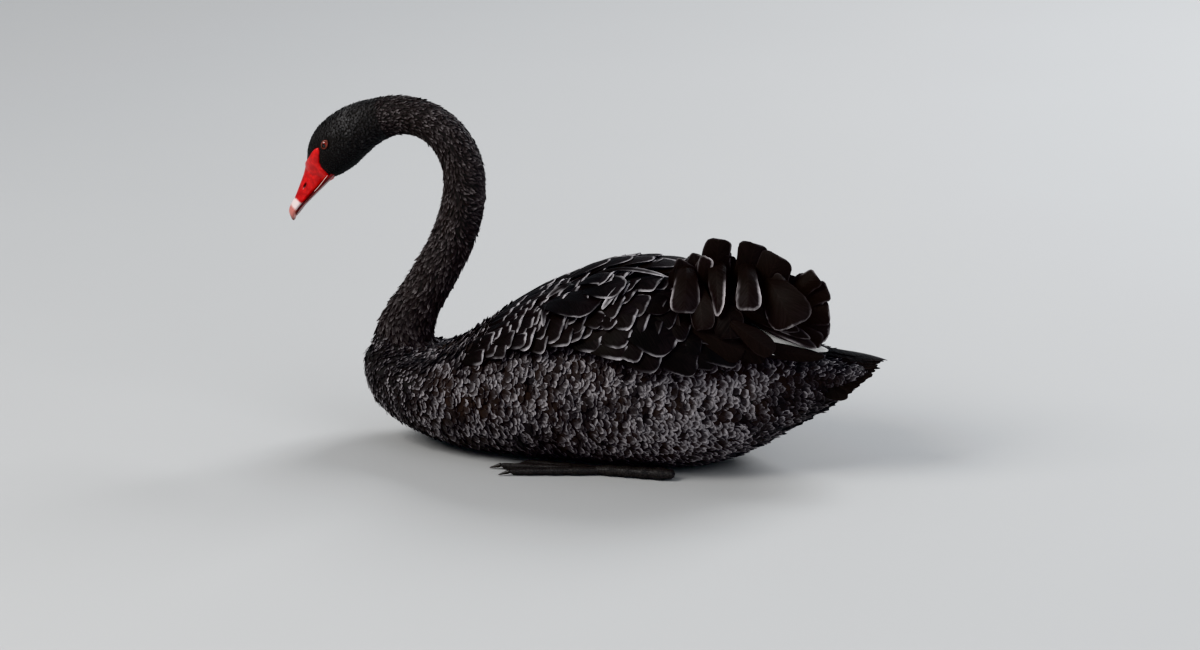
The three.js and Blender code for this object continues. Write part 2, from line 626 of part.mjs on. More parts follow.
const tailSpace = join([solid(tailCore(GAP)), ...tailFan.map((one) => one.translate([0, 0, GAP]))]);
const rump = torsoProud.add(tailSpace);
const rightHalf = solid(block(at(0, 100, 200), at(900, 200 + GAP, 500)));
for (const [side, own] of Object.entries(SIDES)) {
  const wing = join([wingPad(), ...wingVanes(own)]).subtract(rump).subtract(rightHalf);
  const flight = join(flightVanes(own)).subtract(rump);
  const turned = side === "left" ? (made) => made : mirrored;
  put(`wing_${side}`, turned(wing.subtract(solid(flightCover(own, FLIGHT_ROOM)))), BROWN_BLACK);
  put(`flight_${side}`, turned(flight), WHITE);
}
put("leg_left", legPiece, FOOT_BLACK);
put("leg_right", mirrored(legPiece), FOOT_BLACK);
put("foot_left", foot, FOOT_BLACK);
put("foot_right", mirrored(foot), FOOT_BLACK);
put("eye_left", solid(eyeBall(-1)), EYE_RED);
put("eye_right", solid(eyeBall(1)), EYE_RED);

export default swan;
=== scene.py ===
import math

import bmesh
import bpy
import numpy as np
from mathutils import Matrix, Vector
from mathutils.bvhtree import BVHTree
from mathutils.kdtree import KDTree


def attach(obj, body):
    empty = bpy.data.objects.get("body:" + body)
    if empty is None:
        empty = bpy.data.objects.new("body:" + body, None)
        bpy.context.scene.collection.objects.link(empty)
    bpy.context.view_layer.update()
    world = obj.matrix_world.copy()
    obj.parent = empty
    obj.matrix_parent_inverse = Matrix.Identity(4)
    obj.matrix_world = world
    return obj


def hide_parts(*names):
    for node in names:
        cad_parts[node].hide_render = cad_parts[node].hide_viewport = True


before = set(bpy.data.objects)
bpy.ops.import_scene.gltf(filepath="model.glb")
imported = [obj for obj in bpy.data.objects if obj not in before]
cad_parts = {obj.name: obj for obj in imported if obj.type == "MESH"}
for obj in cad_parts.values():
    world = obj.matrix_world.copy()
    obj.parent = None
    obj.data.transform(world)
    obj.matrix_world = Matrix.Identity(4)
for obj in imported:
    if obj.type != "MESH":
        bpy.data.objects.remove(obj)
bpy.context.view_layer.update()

mm = 0.001  # sizes below are in millimetres, as one would measure the bird
turn = 2 * math.pi

# Camera, floor and light

studio = {
    "photoSize": (1200, 650),
    "mmPerPixel": 1.17,
    "level": (387.8, 78),  # how far down in the picture the bird's middle is, at this height above the floor
    "azimuth": 16.5, "elevation": 15, "distance": 8.0, "sensor": 36,
    "floorSize": 30, "floorTone": (0.5, 0.5, 0.495),
    "worldTone": (0.8, 0.84, 0.9), "worldStrength": 0.42,
    "lampsAim": (0, 0, 0.15),
    # name, place in metres, size in metres, watts, colour
    "lamps": [
        ("keyLamp", (-2.6, -2.8, 3.4), 2.6, 175, (1.0, 0.98, 0.95)),
        ("fillLamp", (3.2, -2.6, 1.9), 3.0, 62, (0.93, 0.96, 1.0)),
        ("rimLamp", (1.6, 3.2, 2.9), 2.4, 150, (0.95, 0.97, 1.0)),
    ],
}


def buildStudio():
    down, height = studio["level"]
    a, e = math.radians(studio["azimuth"]), math.radians(studio["elevation"])
    back = Vector((math.sin(a) * math.cos(e), -math.cos(a) * math.cos(e), math.sin(e)))
    up = back.cross(Vector((math.cos(a), math.sin(a), 0)))
    step = studio["mmPerPixel"] * mm
    centre = Vector((0, 0, height * mm)) + up * (down - studio["photoSize"][1] / 2) * step
    lens = bpy.data.cameras.new("swanCamera")
    lens.sensor_width = studio["sensor"]
    lens.lens = studio["sensor"] * studio["distance"] / (studio["photoSize"][0] * step)
    lens.clip_end = 100
    camera = bpy.data.objects.new("swanCamera", lens)
    camera.location = centre + back * studio["distance"]
    camera.rotation_euler = (-back).to_track_quat("-Z", "Y").to_euler()
    bpy.context.scene.collection.objects.link(camera)
    bpy.context.scene.camera = camera
    for name, place, size, watts, colour in studio["lamps"]:
        light = bpy.data.lights.new(name, "AREA")
        light.size, light.energy, light.color = size, watts, colour
        lamp = bpy.data.objects.new(name, light)
        lamp.location = place
        lamp.rotation_euler = (Vector(studio["lampsAim"]) - lamp.location).to_track_quat("-Z", "Y").to_euler()
        bpy.context.scene.collection.objects.link(lamp)
    bpy.context.scene.view_settings.view_transform = "Khronos PBR Neutral"
    world = bpy.data.worlds.new("softRoom")
    bpy.context.scene.world = world
    world.use_nodes = True
    air = world.node_tree.nodes["Background"].inputs
    air["Color"].default_value = (*studio["worldTone"], 1)
    air["Strength"].default_value = studio["worldStrength"]


# Shader maths

class Wire:  # a socket of a finish: sums on it add Math nodes
    def __init__(self, finish, socket):
        self.finish, self.socket = finish, socket

    def __add__(self, other):
        return self.finish.maths("ADD", self, other)

    def __radd__(self, other):
        return self.finish.maths("ADD", other, self)

    def __sub__(self, other):
        return self.finish.maths("SUBTRACT", self, other)

    def __rsub__(self, other):
        return self.finish.maths("SUBTRACT", other, self)

    def __mul__(self, other):
        return self.finish.maths("MULTIPLY", self, other)

    def __truediv__(self, other):
        return self.finish.maths("DIVIDE", self, other)


class Finish:  # a material; constants go straight on its shader
    def __init__(self, name, constants):
        self.material = bpy.data.materials.new(name)
        self.material.use_nodes = True
        self.tree = self.material.node_tree
        self.shader = self.tree.nodes["Principled BSDF"]
        for socket, value in constants.items():
            self.shader.inputs[socket].default_value = value

    def add(self, kind, settings=None, sockets=None, out=0):
        node = self.tree.nodes.new("ShaderNode" + kind)
        for key, value in (settings or {}).items():
            setattr(node, key, value)
        for key, value in (sockets or {}).items():
            self.put(node.inputs[key], value)
        return Wire(self, node.outputs[out])

    def put(self, socket, value):
        if isinstance(value, Wire):
            self.tree.links.new(value.socket, socket)
        elif isinstance(value, tuple) and len(value) == 3 and socket.type == "RGBA":
            socket.default_value = (*value, 1)
        else:
            socket.default_value = value

    def maths(self, operation, a, b=0.0, clamp=False):
        return self.add("Math", {"operation": operation, "use_clamp": clamp}, {0: a, 1: b})

    def ramp(self, value, low, high):  # 0 below low, 1 above high, with a soft middle
        settings = {"interpolation_type": "SMOOTHSTEP"}
        return self.add("MapRange", settings, {"Value": value, "From Min": low, "From Max": high})

    def mix(self, share, a, b):
        return self.add("Mix", {"data_type": "RGBA"}, {0: share, 6: a, 7: b}, out=2)

    def noise(self, place, scale, detail=2.0):
        sockets = {"Vector": place, "Scale": scale, "Detail": detail, "Roughness": 0.55}
        return self.add("TexNoise", None, sockets)

    def vector(self, x, y, z):
        return self.add("CombineXYZ", None, {0: x, 1: y, 2: z})

    def mark(self, name):  # a number that the mesh carries
        return self.add("Attribute", {"attribute_name": name}, None, out=2)

    def place(self):
        return self.add("TexCoord", None, None, out="Object")

    def bump(self, height, depth, strength):
        return self.add("Bump", None, {"Height": height, "Distance": depth, "Strength": strength})

    def feed(self, **sockets):
        for name, value in sockets.items():
            self.put(self.shader.inputs[name.replace("_", " ")], value)
        return self.material


# Measured forms of the body

def smooth(pairs):  # a soft curve through (place, value) pairs
    place, value = np.array(pairs, float).T
    order = np.arange(len(place))
    before, after = np.maximum(order - 1, 0), np.minimum(order + 1, len(place) - 1)
    slope = (value[after] - value[before]) / (place[after] - place[before])

    def read(at):
        at = np.clip(at, place[0], place[-1])
        i = np.clip(np.searchsorted(place, at, "right") - 1, 0, len(place) - 2)
        span = place[i + 1] - place[i]
        s = (at - place[i]) / span
        lead = s * (1 - s) ** 2 * slope[i] * span
        trail = s * s * (s - 1) * slope[i + 1] * span
        return value[i] + (value[i + 1] - value[i]) * s * s * (3 - 2 * s) + lead + trail

    return read


def power(value, exponent):
    return np.sign(value) * np.abs(value) ** exponent


def join3(x, y, z):
    return np.stack(np.broadcast_arrays(x, y, z), -1).astype(float)


def unit(vectors):
    return vectors / np.maximum(np.linalg.norm(vectors, axis=-1, keepdims=True), 1e-9)


torso = {  # outline from the side and from above, along X; the bird faces -X
    "from": -287, "to": 250,
    "back": smooth([
        (-287, 111), (-270, 121), (-235, 122), (-200, 118), (-163, 134), (-126, 160), (-89, 181),
        (-50, 197), (0, 208), (50, 212), (100, 206), (150, 193), (200, 175), (250, 155),
    ]),
    "keel": smooth([
        (-287, 89), (-280, 60), (-265, 38), (-240, 20), (-200, 5), (-160, -3), (-120, -6), (100, -6),
        (140, -1), (180, 13), (220, 36), (250, 57),
    ]),
    "flank": smooth([
        (-287, 14), (-280, 36), (-265, 56), (-240, 75), (-200, 93), (-150, 108), (-100, 118), (-40, 124),
        (30, 126), (90, 121), (140, 110), (190, 91), (225, 73), (250, 60),
    ]),
    "waist": smooth([(-287, 100), (-250, 88), (-150, 84), (100, 88), (200, 104), (250, 118)]),
    "roundTop": 2 / 2.15, "roundBelly": 2 / 2.3,
}


def torsoPoint(x, angle, proud=0.0):  # angle 0 is the left side, a quarter turn is up
    up = np.sin(angle) > 0
    waist = torso["waist"](x)
    height = np.where(up, torso["back"](x) - waist, waist - torso["keel"](x))
    curve = np.where(up, torso["roundTop"], torso["roundBelly"])
    y = -(torso["flank"](x) + proud) * power(np.cos(angle), curve)
    z = waist + (height + proud) * power(np.sin(angle), curve)
    return join3(x, y, np.maximum(z, 0))


spine = {  # the line through the middle of neck and head, as (x, z)
    "points": [
        (-236, 78), (-241, 102), (-240, 124), (-232, 148), (-216, 177), (-199, 207), (-182, 240),
        (-170, 275), (-165, 308), (-169, 339), (-184, 366), (-209, 384), (-240, 390), (-270, 383),
        (-297, 369), (-321, 348), (-337, 327), (-350, 305),
    ],
    "depth": smooth([
        (0, 44), (0.048, 43), (0.11, 37), (0.175, 31.5), (0.28, 29.5), (0.4, 28.5), (0.52, 27), (0.64, 25),
        (0.7, 24.5), (0.775, 27), (0.84, 31.5), (0.9, 33), (0.94, 28), (0.97, 20), (1, 10),
    ]),
    "width": smooth([
        (0, 44), (0.048, 41), (0.11, 34), (0.175, 29.5), (0.28, 27.5), (0.4, 26.5), (0.52, 25), (0.64, 23.5),
        (0.7, 23), (0.775, 24.5), (0.84, 27.5), (0.9, 27.5), (0.94, 24), (0.97, 17), (1, 9),
    ]),
    "steps": 36,
}


def drawSpine():  # a centripetal spline, and the share of its length up to each of its points
    given = np.array(spine["points"], float)
    given = np.vstack([2 * given[0] - given[1], given, 2 * given[-1] - given[-2]])
    t = np.linspace(0, 1, spine["steps"], endpoint=False)[:, None]
    line = []
    for a, b, c, d in zip(given, given[1:], given[2:], given[3:]):
        first, middle, last = (np.sqrt(np.linalg.norm(q - p)) for p, q in ((a, b), (b, c), (c, d)))
        start = ((b - a) / first - (c - a) / (first + middle) + (c - b) / middle) * middle
        end = ((c - b) / middle - (d - b) / (middle + last) + (d - c) / last) * middle
        cube = 2 * b - 2 * c + start + end
        square = 3 * c - 3 * b - 2 * start - end
        line.append(b + start * t + square * t**2 + cube * t**3)
    line = np.vstack(line + [given[-2:-1]])
    gone = np.concatenate([[0], np.cumsum(np.linalg.norm(np.diff(line, axis=0), axis=1))])
    return line, gone / gone[-1]


spineLine, spineShare = drawSpine()
spineRun = unit(np.gradient(spineLine, axis=0))


def spineAt(share):  # its point and its direction
    place = [np.interp(share, spineShare, spineLine[:, k]) for k in (0, 1)]
    run = [np.interp(share, spineShare, spineRun[:, k]) for k in (0, 1)]
    return join3(place[0], 0, place[1]), unit(join3(run[0], 0, run[1]))


def neckPoint(share, angle, proud=0.0):
    middle, run = spineAt(share)
    over = join3(run[..., 2], 0, -run[..., 0])
    deep = (spine["depth"](share) + proud) * np.sin(angle)
    wide = -(spine["width"](share) + proud) * np.cos(angle)
    return middle + over * deep[..., None] + join3(0, wide, 0)


def spinePlace(points):  # share along the spine, angle round it and distance from it
    flat = points[:, [0, 2]]
    near = np.empty(len(points), int)
    for start in range(0, len(points), 4000):
        gap = flat[start:start + 4000, None] - spineLine[None]
        near[start:start + 4000] = (gap**2).sum(2).argmin(1)
    off = flat - spineLine[near]
    run = spineRun[near]
    over = off[:, 0] * run[:, 1] - off[:, 1] * run[:, 0]
    return spineShare[near], np.arctan2(over, -points[:, 1]), np.hypot(over, points[:, 1])


bill = {  # measured along its own axis, from the middle of its root
    "root": np.array([-340.0, 0, 322]), "pointsDown": math.radians(57.7), "length": 77,
    "culmen": smooth([(-12, 20), (6, 18), (20, 13.6), (36, 10.2), (50, 7.6), (60, 7), (70, 4.6), (77, -3)]),
    "mouth": smooth([(-12, -14), (6, -12.5), (20, -11), (36, -8), (56, -4.8), (70, -5), (77, -7)]),
    "chin": smooth([(-12, -21), (17, -17.5), (30, -14.5), (56, -8.6), (70, -7)]),
    "width": smooth([
        (-12, 15), (6, 15.5), (20, 14), (36, 12.6), (52, 12.4), (62, 11.6), (70, 8.5), (77, 3),
    ]),
    "mouthGap": 0.6,
    # where feathers end and bare skin begins, as (ahead, up)
    "border": [
        (12, 40), (9, 17.5), (2, 16.4), (-6, 15.6), (-16, 15.2), (-22, 13.6), (-24.5, 11.5), (-22, 8.6),
        (-16, 5.4), (-9, 1.4), (-5.4, -3), (-3.6, -8), (-1.6, -12.4), (1.5, -16), (20, -40),
    ],
}
billAhead = np.array([-math.cos(bill["pointsDown"]), 0, -math.sin(bill["pointsDown"])])
billUp = np.array([billAhead[2], 0, -billAhead[0]])


def billPoint(ahead, side, up):
    spot = join3(ahead, side, up)
    level = spot[..., 1:2] * np.array([0, 1, 0])
    return bill["root"] + spot[..., 0:1] * billAhead + level + spot[..., 2:3] * billUp


def billPlace(points):  # ahead, side and up of points
    off = points - bill["root"]
    return off @ billAhead, off[..., 1], off @ billUp


def borderAhead(up):
    ahead, level = np.array(bill["border"][::-1], float).T
    return np.interp(up, level, ahead)


eye = {
    "radius": 6.4, "ahead": -33.4, "up": 7, "side": 21.6,
    "clear": 6.1, "stretch": (1.28, 0.98),  # how far round it the head is bare
}

wingForm = {
    "from": -150, "to": 232,
    "proud": smooth([
        (-150, 0), (-110, 4), (-40, 10), (20, 17), (80, 19), (130, 16), (190, 11), (232, 3),
    ]),
    "edge": smooth([
        (-148, 120), (-100, 146), (-40, 161), (20, 161), (80, 154), (140, 150), (185, 153), (215, 160),
        (262, 168),
    ]),
}

tailForm = {
    "from": 236, "to": 334,
    "top": smooth([(236, 158), (250, 153), (285, 144), (320, 138), (334, 136)]),
    "under": smooth([(236, 48), (250, 57), (285, 80), (320, 114), (334, 131)]),
    "wide": smooth([(236, 64), (250, 60), (285, 48), (320, 34), (334, 14)]),
    "waist": 0.58,
}


def padPoint(x, angle, rise=0.0):  # on the folded wing's pad
    return torsoPoint(x, angle, wingForm["proud"](x) + rise)


def edgeAngle(x):  # how far round the body the folded wing's lower edge lies
    waist = torso["waist"](x)
    level = (wingForm["edge"](x) - waist) / (torso["back"](x) + wingForm["proud"](x) - waist)
    return np.arcsin(np.minimum(level, 1) ** (1 / torso["roundTop"]))


def tailPoint(x, angle, proud=0.0):
    low, high = tailForm["under"](x), tailForm["top"](x)
    waist = low + (high - low) * tailForm["waist"]
    height = np.where(np.sin(angle) > 0, high - waist, waist - low) + proud
    y = -(tailForm["wide"](x) + proud) * power(np.cos(angle), torso["roundTop"])
    return join3(x, y, waist + height * power(np.sin(angle), torso["roundTop"]))


# Mesh helpers

def sleeve(bm, around, along, place):  # a tube drawn by place(share, angle), its seam and ends closed
    made = bmesh.ops.create_grid(bm, x_segments=around, y_segments=along, size=0.5)["verts"]
    spots = np.array([v.co for v in made])
    points = place(spots[:, 1] + 0.5, (spots[:, 0] + 0.5) * turn) * mm
    for vert, point in zip(made, points):
        vert.co = point
    old = set(bm.verts) - set(made)
    bmesh.ops.remove_doubles(bm, verts=made, dist=1e-7)
    fresh = [v for v in bm.verts if v not in old]
    rims = list({e for v in fresh for e in v.link_edges if e.is_boundary})
    if rims:
        bmesh.ops.holes_fill(bm, edges=rims, sides=0)
    faces = list({f for v in fresh for f in v.link_faces})
    bmesh.ops.recalc_face_normals(bm, faces=faces)


def addPiece(name, bm, material):
    mesh = bpy.data.meshes.new(name)
    bm.to_mesh(mesh)
    bm.free()
    return addMesh(name, mesh, material)


def addMesh(name, mesh, material):
    mesh.shade_smooth()
    mesh.materials.append(material)
    piece = bpy.data.objects.new(name, mesh)
    bpy.context.scene.collection.objects.link(piece)
    return piece


def fuse(bm, voxel):  # one closed surface round all that the mesh holds
    mesh = bpy.data.meshes.new("loose")
    bm.to_mesh(mesh)
    bm.free()
    loose = bpy.data.objects.new("loose", mesh)
    bpy.context.scene.collection.objects.link(loose)
    remesh = loose.modifiers.new("fuse", "REMESH")
    remesh.mode, remesh.voxel_size = "VOXEL", voxel * mm
    ready = loose.evaluated_get(bpy.context.evaluated_depsgraph_get())
    fused = bmesh.new()
    fused.from_mesh(ready.to_mesh())
    bpy.data.objects.remove(loose)
    bpy.data.meshes.remove(mesh)
    return fused


def soften(bm, rounds, verts=None):
    for _ in range(rounds):
        bmesh.ops.smooth_vert(bm, verts=verts or bm.verts, factor=0.5, use_axis_x=True, use_axis_y=True,
                              use_axis_z=True)


def dress(piece, nodes):
    if nodes:
        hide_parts(*nodes)
    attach(piece, "root")


# The skin: torso, neck, head, wing pads and rump as one surface, inside the feathers by their depth

skinForm = {
    "torsoCoat": 6.0, "neckCoat": 3.4, "headCoat": 1.7, "wingCoat": 5.5, "tailCoat": 5.0,
    "voxel": 2.7, "softRounds": 3, "junctionRounds": 14, "spineEnd": 0.992,
    "lowest": 2.0, "torsoLowest": 2.2,  # above the floor, where the belly's feathers lie under it
    "junction": (-290, -150, 95, 165),  # x and z between which the neck's foot is smoothed
    "padInset": 6, "padDepth": -30, "padRim": -18,
}

faceForm = {  # the bare skin between the bill and the feathers
    "behind": -36, "ahead": 16, "reach": 30, "lowest": 250, "cuts": 3, "rounds": 12,
    "edgeWidth": 2.5, "heights": [1.3, 2.3], "thickness": 3,
}


def neckCoat(share):
    return -np.interp(share, [0, 0.12, 0.6, 0.8, 0.9, 1], [
        skinForm["torsoCoat"], skinForm["torsoCoat"] - 1.5, skinForm["neckCoat"], skinForm["headCoat"] + 0.6,
        skinForm["headCoat"], 1.2,
    ])


def copyFace(skin):  # the head's own surface between the bill and the feathers
    bm = skin.copy()
    centres = np.array([f.calc_center_median() for f in bm.faces]) / mm
    ahead, _, up = billPlace(centres)
    far = (ahead < faceForm["behind"]) | (ahead > faceForm["ahead"])
    far = far | (np.abs(up) > faceForm["reach"]) | (centres[:, 2] < faceForm["lowest"])
    bmesh.ops.delete(bm, geom=[f for f, unwanted in zip(bm.faces, far) if unwanted], context="FACES")
    bmesh.ops.subdivide_edges(bm, edges=bm.edges, cuts=faceForm["cuts"], use_grid_fill=True)
    soften(bm, faceForm["rounds"])
    bm.normal_update()
    ahead, _, up = billPlace(np.array([f.calc_center_median() for f in bm.faces]) / mm)
    feathered = [f for f, within in zip(bm.faces, ahead - borderAhead(up)) if within < 0]
    bmesh.ops.delete(bm, geom=feathered, context="FACES")
    ahead, _, up = billPlace(np.array([v.co for v in bm.verts]) / mm)
    raised = np.interp(ahead - borderAhead(up), [0, faceForm["edgeWidth"]], faceForm["heights"])
    for vert, height in zip(bm.verts, raised):
        vert.co += vert.normal * float(height) * mm
    bmesh.ops.solidify(bm, geom=bm.faces, thickness=faceForm["thickness"] * mm)
    return bm


def buildSkin(material):
    bm = bmesh.new()
    first, last = torso["from"] + skinForm["torsoCoat"] * 0.7, torso["to"] + 4

    def torsoRing(share, angle):
        x = first + (last - first) * (0.55 * (1 - np.cos(np.pi * share)) / 2 + 0.45 * share)
        points = torsoPoint(x, angle, -skinForm["torsoCoat"])
        points[:, 2] = np.maximum(points[:, 2], skinForm["torsoLowest"])
        return points

    def neckRing(share, angle):
        share = share * skinForm["spineEnd"]
        return neckPoint(share, angle, neckCoat(share))

    def tailRing(share, angle):
        start, end = tailForm["from"], tailForm["to"] - 12
        return tailPoint(start + (end - start) * share, angle, -skinForm["tailCoat"])

    def padRing(share, angle, side):
        inset = skinForm["padInset"]
        x = wingForm["from"] + inset + (wingForm["to"] - wingForm["from"] - 2 * inset) * share
        low = edgeAngle(x) + 0.05
        around = low + (math.pi / 2 - low) * (1 - np.cos(angle)) / 2
        depth = np.where(np.sin(angle) > 0, 0, skinForm["padDepth"]) - skinForm["wingCoat"]
        points = padPoint(x, around, np.where(np.abs(np.sin(angle)) < 0.2, skinForm["padRim"], depth))
        points[:, 1] *= side
        return points

    sleeve(bm, 64, 60, torsoRing)
    sleeve(bm, 48, 150, neckRing)
    sleeve(bm, 40, 24, tailRing)
    for side in (1, -1):
        sleeve(bm, 40, 40, lambda share, angle: padRing(share, angle, side))
    bm = fuse(bm, skinForm["voxel"])
    soften(bm, skinForm["softRounds"])
    front, behind, low, high = skinForm["junction"]
    junction = [v for v in bm.verts if front < v.co.x / mm < behind and low < v.co.z / mm < high]
    soften(bm, skinForm["junctionRounds"], junction)
    for vert in bm.verts:
        vert.co.z = max(vert.co.z, skinForm["lowest"] * mm)
    tree = BVHTree.FromBMesh(bm)
    face = copyFace(bm)
    bmesh.ops.triangulate(bm, faces=bm.faces)
    corners = np.array([[v.co for v in face.verts] for face in bm.faces]) / mm
    skin = addPiece("skin", bm, material)
    dress(skin, ["torso", "neck_base", "neck_lower", "neck_middle", "neck_upper", "neck_nape", "head"])
    print("skin:", len(skin.data.polygons), "faces")
    return tree, corners, face


# Feathers: each is a closed, thin vane of rows and columns of corners

roundTip = smooth([(0, 0.4), (0.3, 0.8), (0.6, 1), (0.84, 0.86), (0.95, 0.58), (1, 0.26)])
broadTip = smooth([(0, 0.4), (0.3, 0.8), (0.6, 1), (0.86, 0.94), (0.96, 0.74), (1, 0.4)])
bluntTip = smooth([(0, 0.34), (0.4, 0.8), (0.78, 1), (0.92, 0.97), (0.98, 0.8), (1, 0.6)])
longTip = smooth([(0, 0.55), (0.3, 0.95), (0.6, 1), (0.85, 0.78), (0.96, 0.44), (1, 0.16)])
plumeTip = smooth([(0, 0.4), (0.35, 0.95), (0.6, 1), (0.85, 0.66), (1, 0.14)])
columnSets = {
    3: [-1, 0, 1],
    9: [-1, -0.84, -0.52, -0.12, 0, 0.12, 0.52, 0.84, 1],
}


def rowShares(rows, crowding=1.35):  # rows lie closer together towards the tip
    return 1 - (1 - np.linspace(0, 1, rows)) ** crowding


def frameLines(centre, side, roll=0.0):  # a middle line for each vane, with the way across it and the way up
    along = unit(np.gradient(centre, axis=1))
    side = unit(side - (side * along).sum(2, keepdims=True) * along)
    up = np.cross(side, along)
    c, s = np.cos(roll), np.sin(roll)
    return {"centre": centre, "along": along, "side": side * c + up * s, "up": up * c - side * s}


def vaneFaces(columns, rows):
    count = 2 * columns - 2
    ring = np.arange(count)
    start = (np.arange(rows - 1) * count)[:, None]
    a, b = start + ring, start + (ring + 1) % count
    sides = np.concatenate([np.stack([a, b, b + count], -1), np.stack([a, b + count, a + count], -1)])
    fan = np.stack([np.zeros(count - 2, int), np.arange(2, count), np.arange(1, count - 1)], -1)
    return np.concatenate([sides.reshape(-1, 3), fan, fan[:, ::-1] + (rows - 1) * count])


def featherMesh(name, lines, form, paint, material):
    # form: columns, half (vanes, rows, 2), thick (vanes, rows), camber, ridge, ripple (vanes, rows, columns),
    # sweep (how far the barbs slant to the tip), jag (unevenness of the tip), shares and length
    # paint: numbers for each vane, and the place and size of its patch on the map that keeps its colours
    centre, shares = lines["centre"], form["shares"]
    vanes, rows = centre.shape[:2]
    top = np.array(columnSets[form["columns"]], float)
    under = top[-2:0:-1]
    across = np.concatenate([top, under])
    isUnder = np.arange(len(across)) >= len(top)
    half = np.where(across < 0, form["half"][:, :, 0:1], form["half"][:, :, 1:2])
    rise = -form["camber"] * across**2 * half
    rise = rise + form["ridge"] * (np.abs(across) < 0.05) * ~isUnder * (1 - shares)[:, None]
    rise = rise - isUnder * form["thick"][:, :, None] * (1 - across**2)
    ripple = form["ripple"]
    rise = rise + np.concatenate([ripple, ripple[:, :, -2:0:-1]], 2)
    points = centre[:, :, None] + lines["side"][:, :, None] * (across * half)[..., None]
    points = points + lines["up"][:, :, None] * rise[..., None]
    slant = form["sweep"] * np.abs(across) * half * (1 - shares[None, :, None] ** 4)
    jag = np.concatenate([form["jag"], form["jag"][:, -2:0:-1]], 1)[:, None] * shares[None, :, None] ** 5
    points = points + lines["along"][:, :, None] * (slant + jag)[..., None]
    points[..., 2] = np.maximum(points[..., 2], 0.3)
    length = form["length"][:, None, None]
    edge = np.minimum((1 - np.abs(across)) * half * 0.9, (1 - shares)[None, :, None] * length)
    faces = vaneFaces(len(top), rows)
    perVane = rows * len(across)
    corners = (faces[None] + (np.arange(vanes) * perVane)[:, None, None]).reshape(-1, 3)
    a, b, c = (points.reshape(-1, 3)[corners[: len(faces), k]] for k in range(3))
    if (a * np.cross(b, c)).sum() < 0:
        corners = corners[:, ::-1]
    mesh = bpy.data.meshes.new(name)
    mesh.vertices.add(vanes * perVane)
    mesh.vertices.foreach_set("co", (points * mm).astype(np.float32).ravel())
    mesh.loops.add(corners.size)
    mesh.loops.foreach_set("vertex_index", corners.astype(np.int32).ravel())
    mesh.polygons.add(len(corners))
    mesh.polygons.foreach_set("loop_start", np.arange(0, corners.size, 3, dtype=np.int32))
    mesh.update(calc_edges=True)
    piece = addMesh(name, mesh, material)
    column = np.tile(np.arange(len(across)), vanes * rows)
    ends = np.empty(len(mesh.edges) * 2, np.int32)
    mesh.edges.foreach_get("vertices", ends)
    ends = ends.reshape(-1, 2)
    rim = (column[ends] == 0).all(1) | (column[ends] == len(top) - 1).all(1)
    sharp = mesh.attributes.new("sharp_edge", "BOOLEAN", "EDGE")
    sharp.data.foreach_set("value", rim)
    marks = {"edge": edge, "tip": shares[None, :, None]}
    marks = {key: np.broadcast_to(value, half.shape) for key, value in marks.items()}
    for key in ("luck", "pale", "warm"):
        marks[key] = np.broadcast_to(paint[key][:, None, None], half.shape)
    for key, value in marks.items():
        mark = mesh.attributes.new(key, "FLOAT", "POINT")
        mark.data.foreach_set("value", value.astype(np.float32).ravel())
    t = np.broadcast_to(shares[None, :, None], half.shape)
    flat = np.stack([across * half, t * length], -1) * 0.01
    patch = paint["patch"] * np.stack([0.5 + 0.46 * np.broadcast_to(across, half.shape), 0.04 + 0.92 * t], -1)
    patch = patch + paint["place"][:, None, None]
    for key, spot in (("vane", flat), ("OFBake", patch)):
        layer = mesh.uv_layers.new(name=key)
        layer.data.foreach_set("uv", spot.reshape(-1, 2)[corners.ravel()].astype(np.float32).ravel())
    mesh.validate()
    print(name + ":", vanes, "feathers,", len(corners), "triangles")
    return piece


# Finishes of plumage

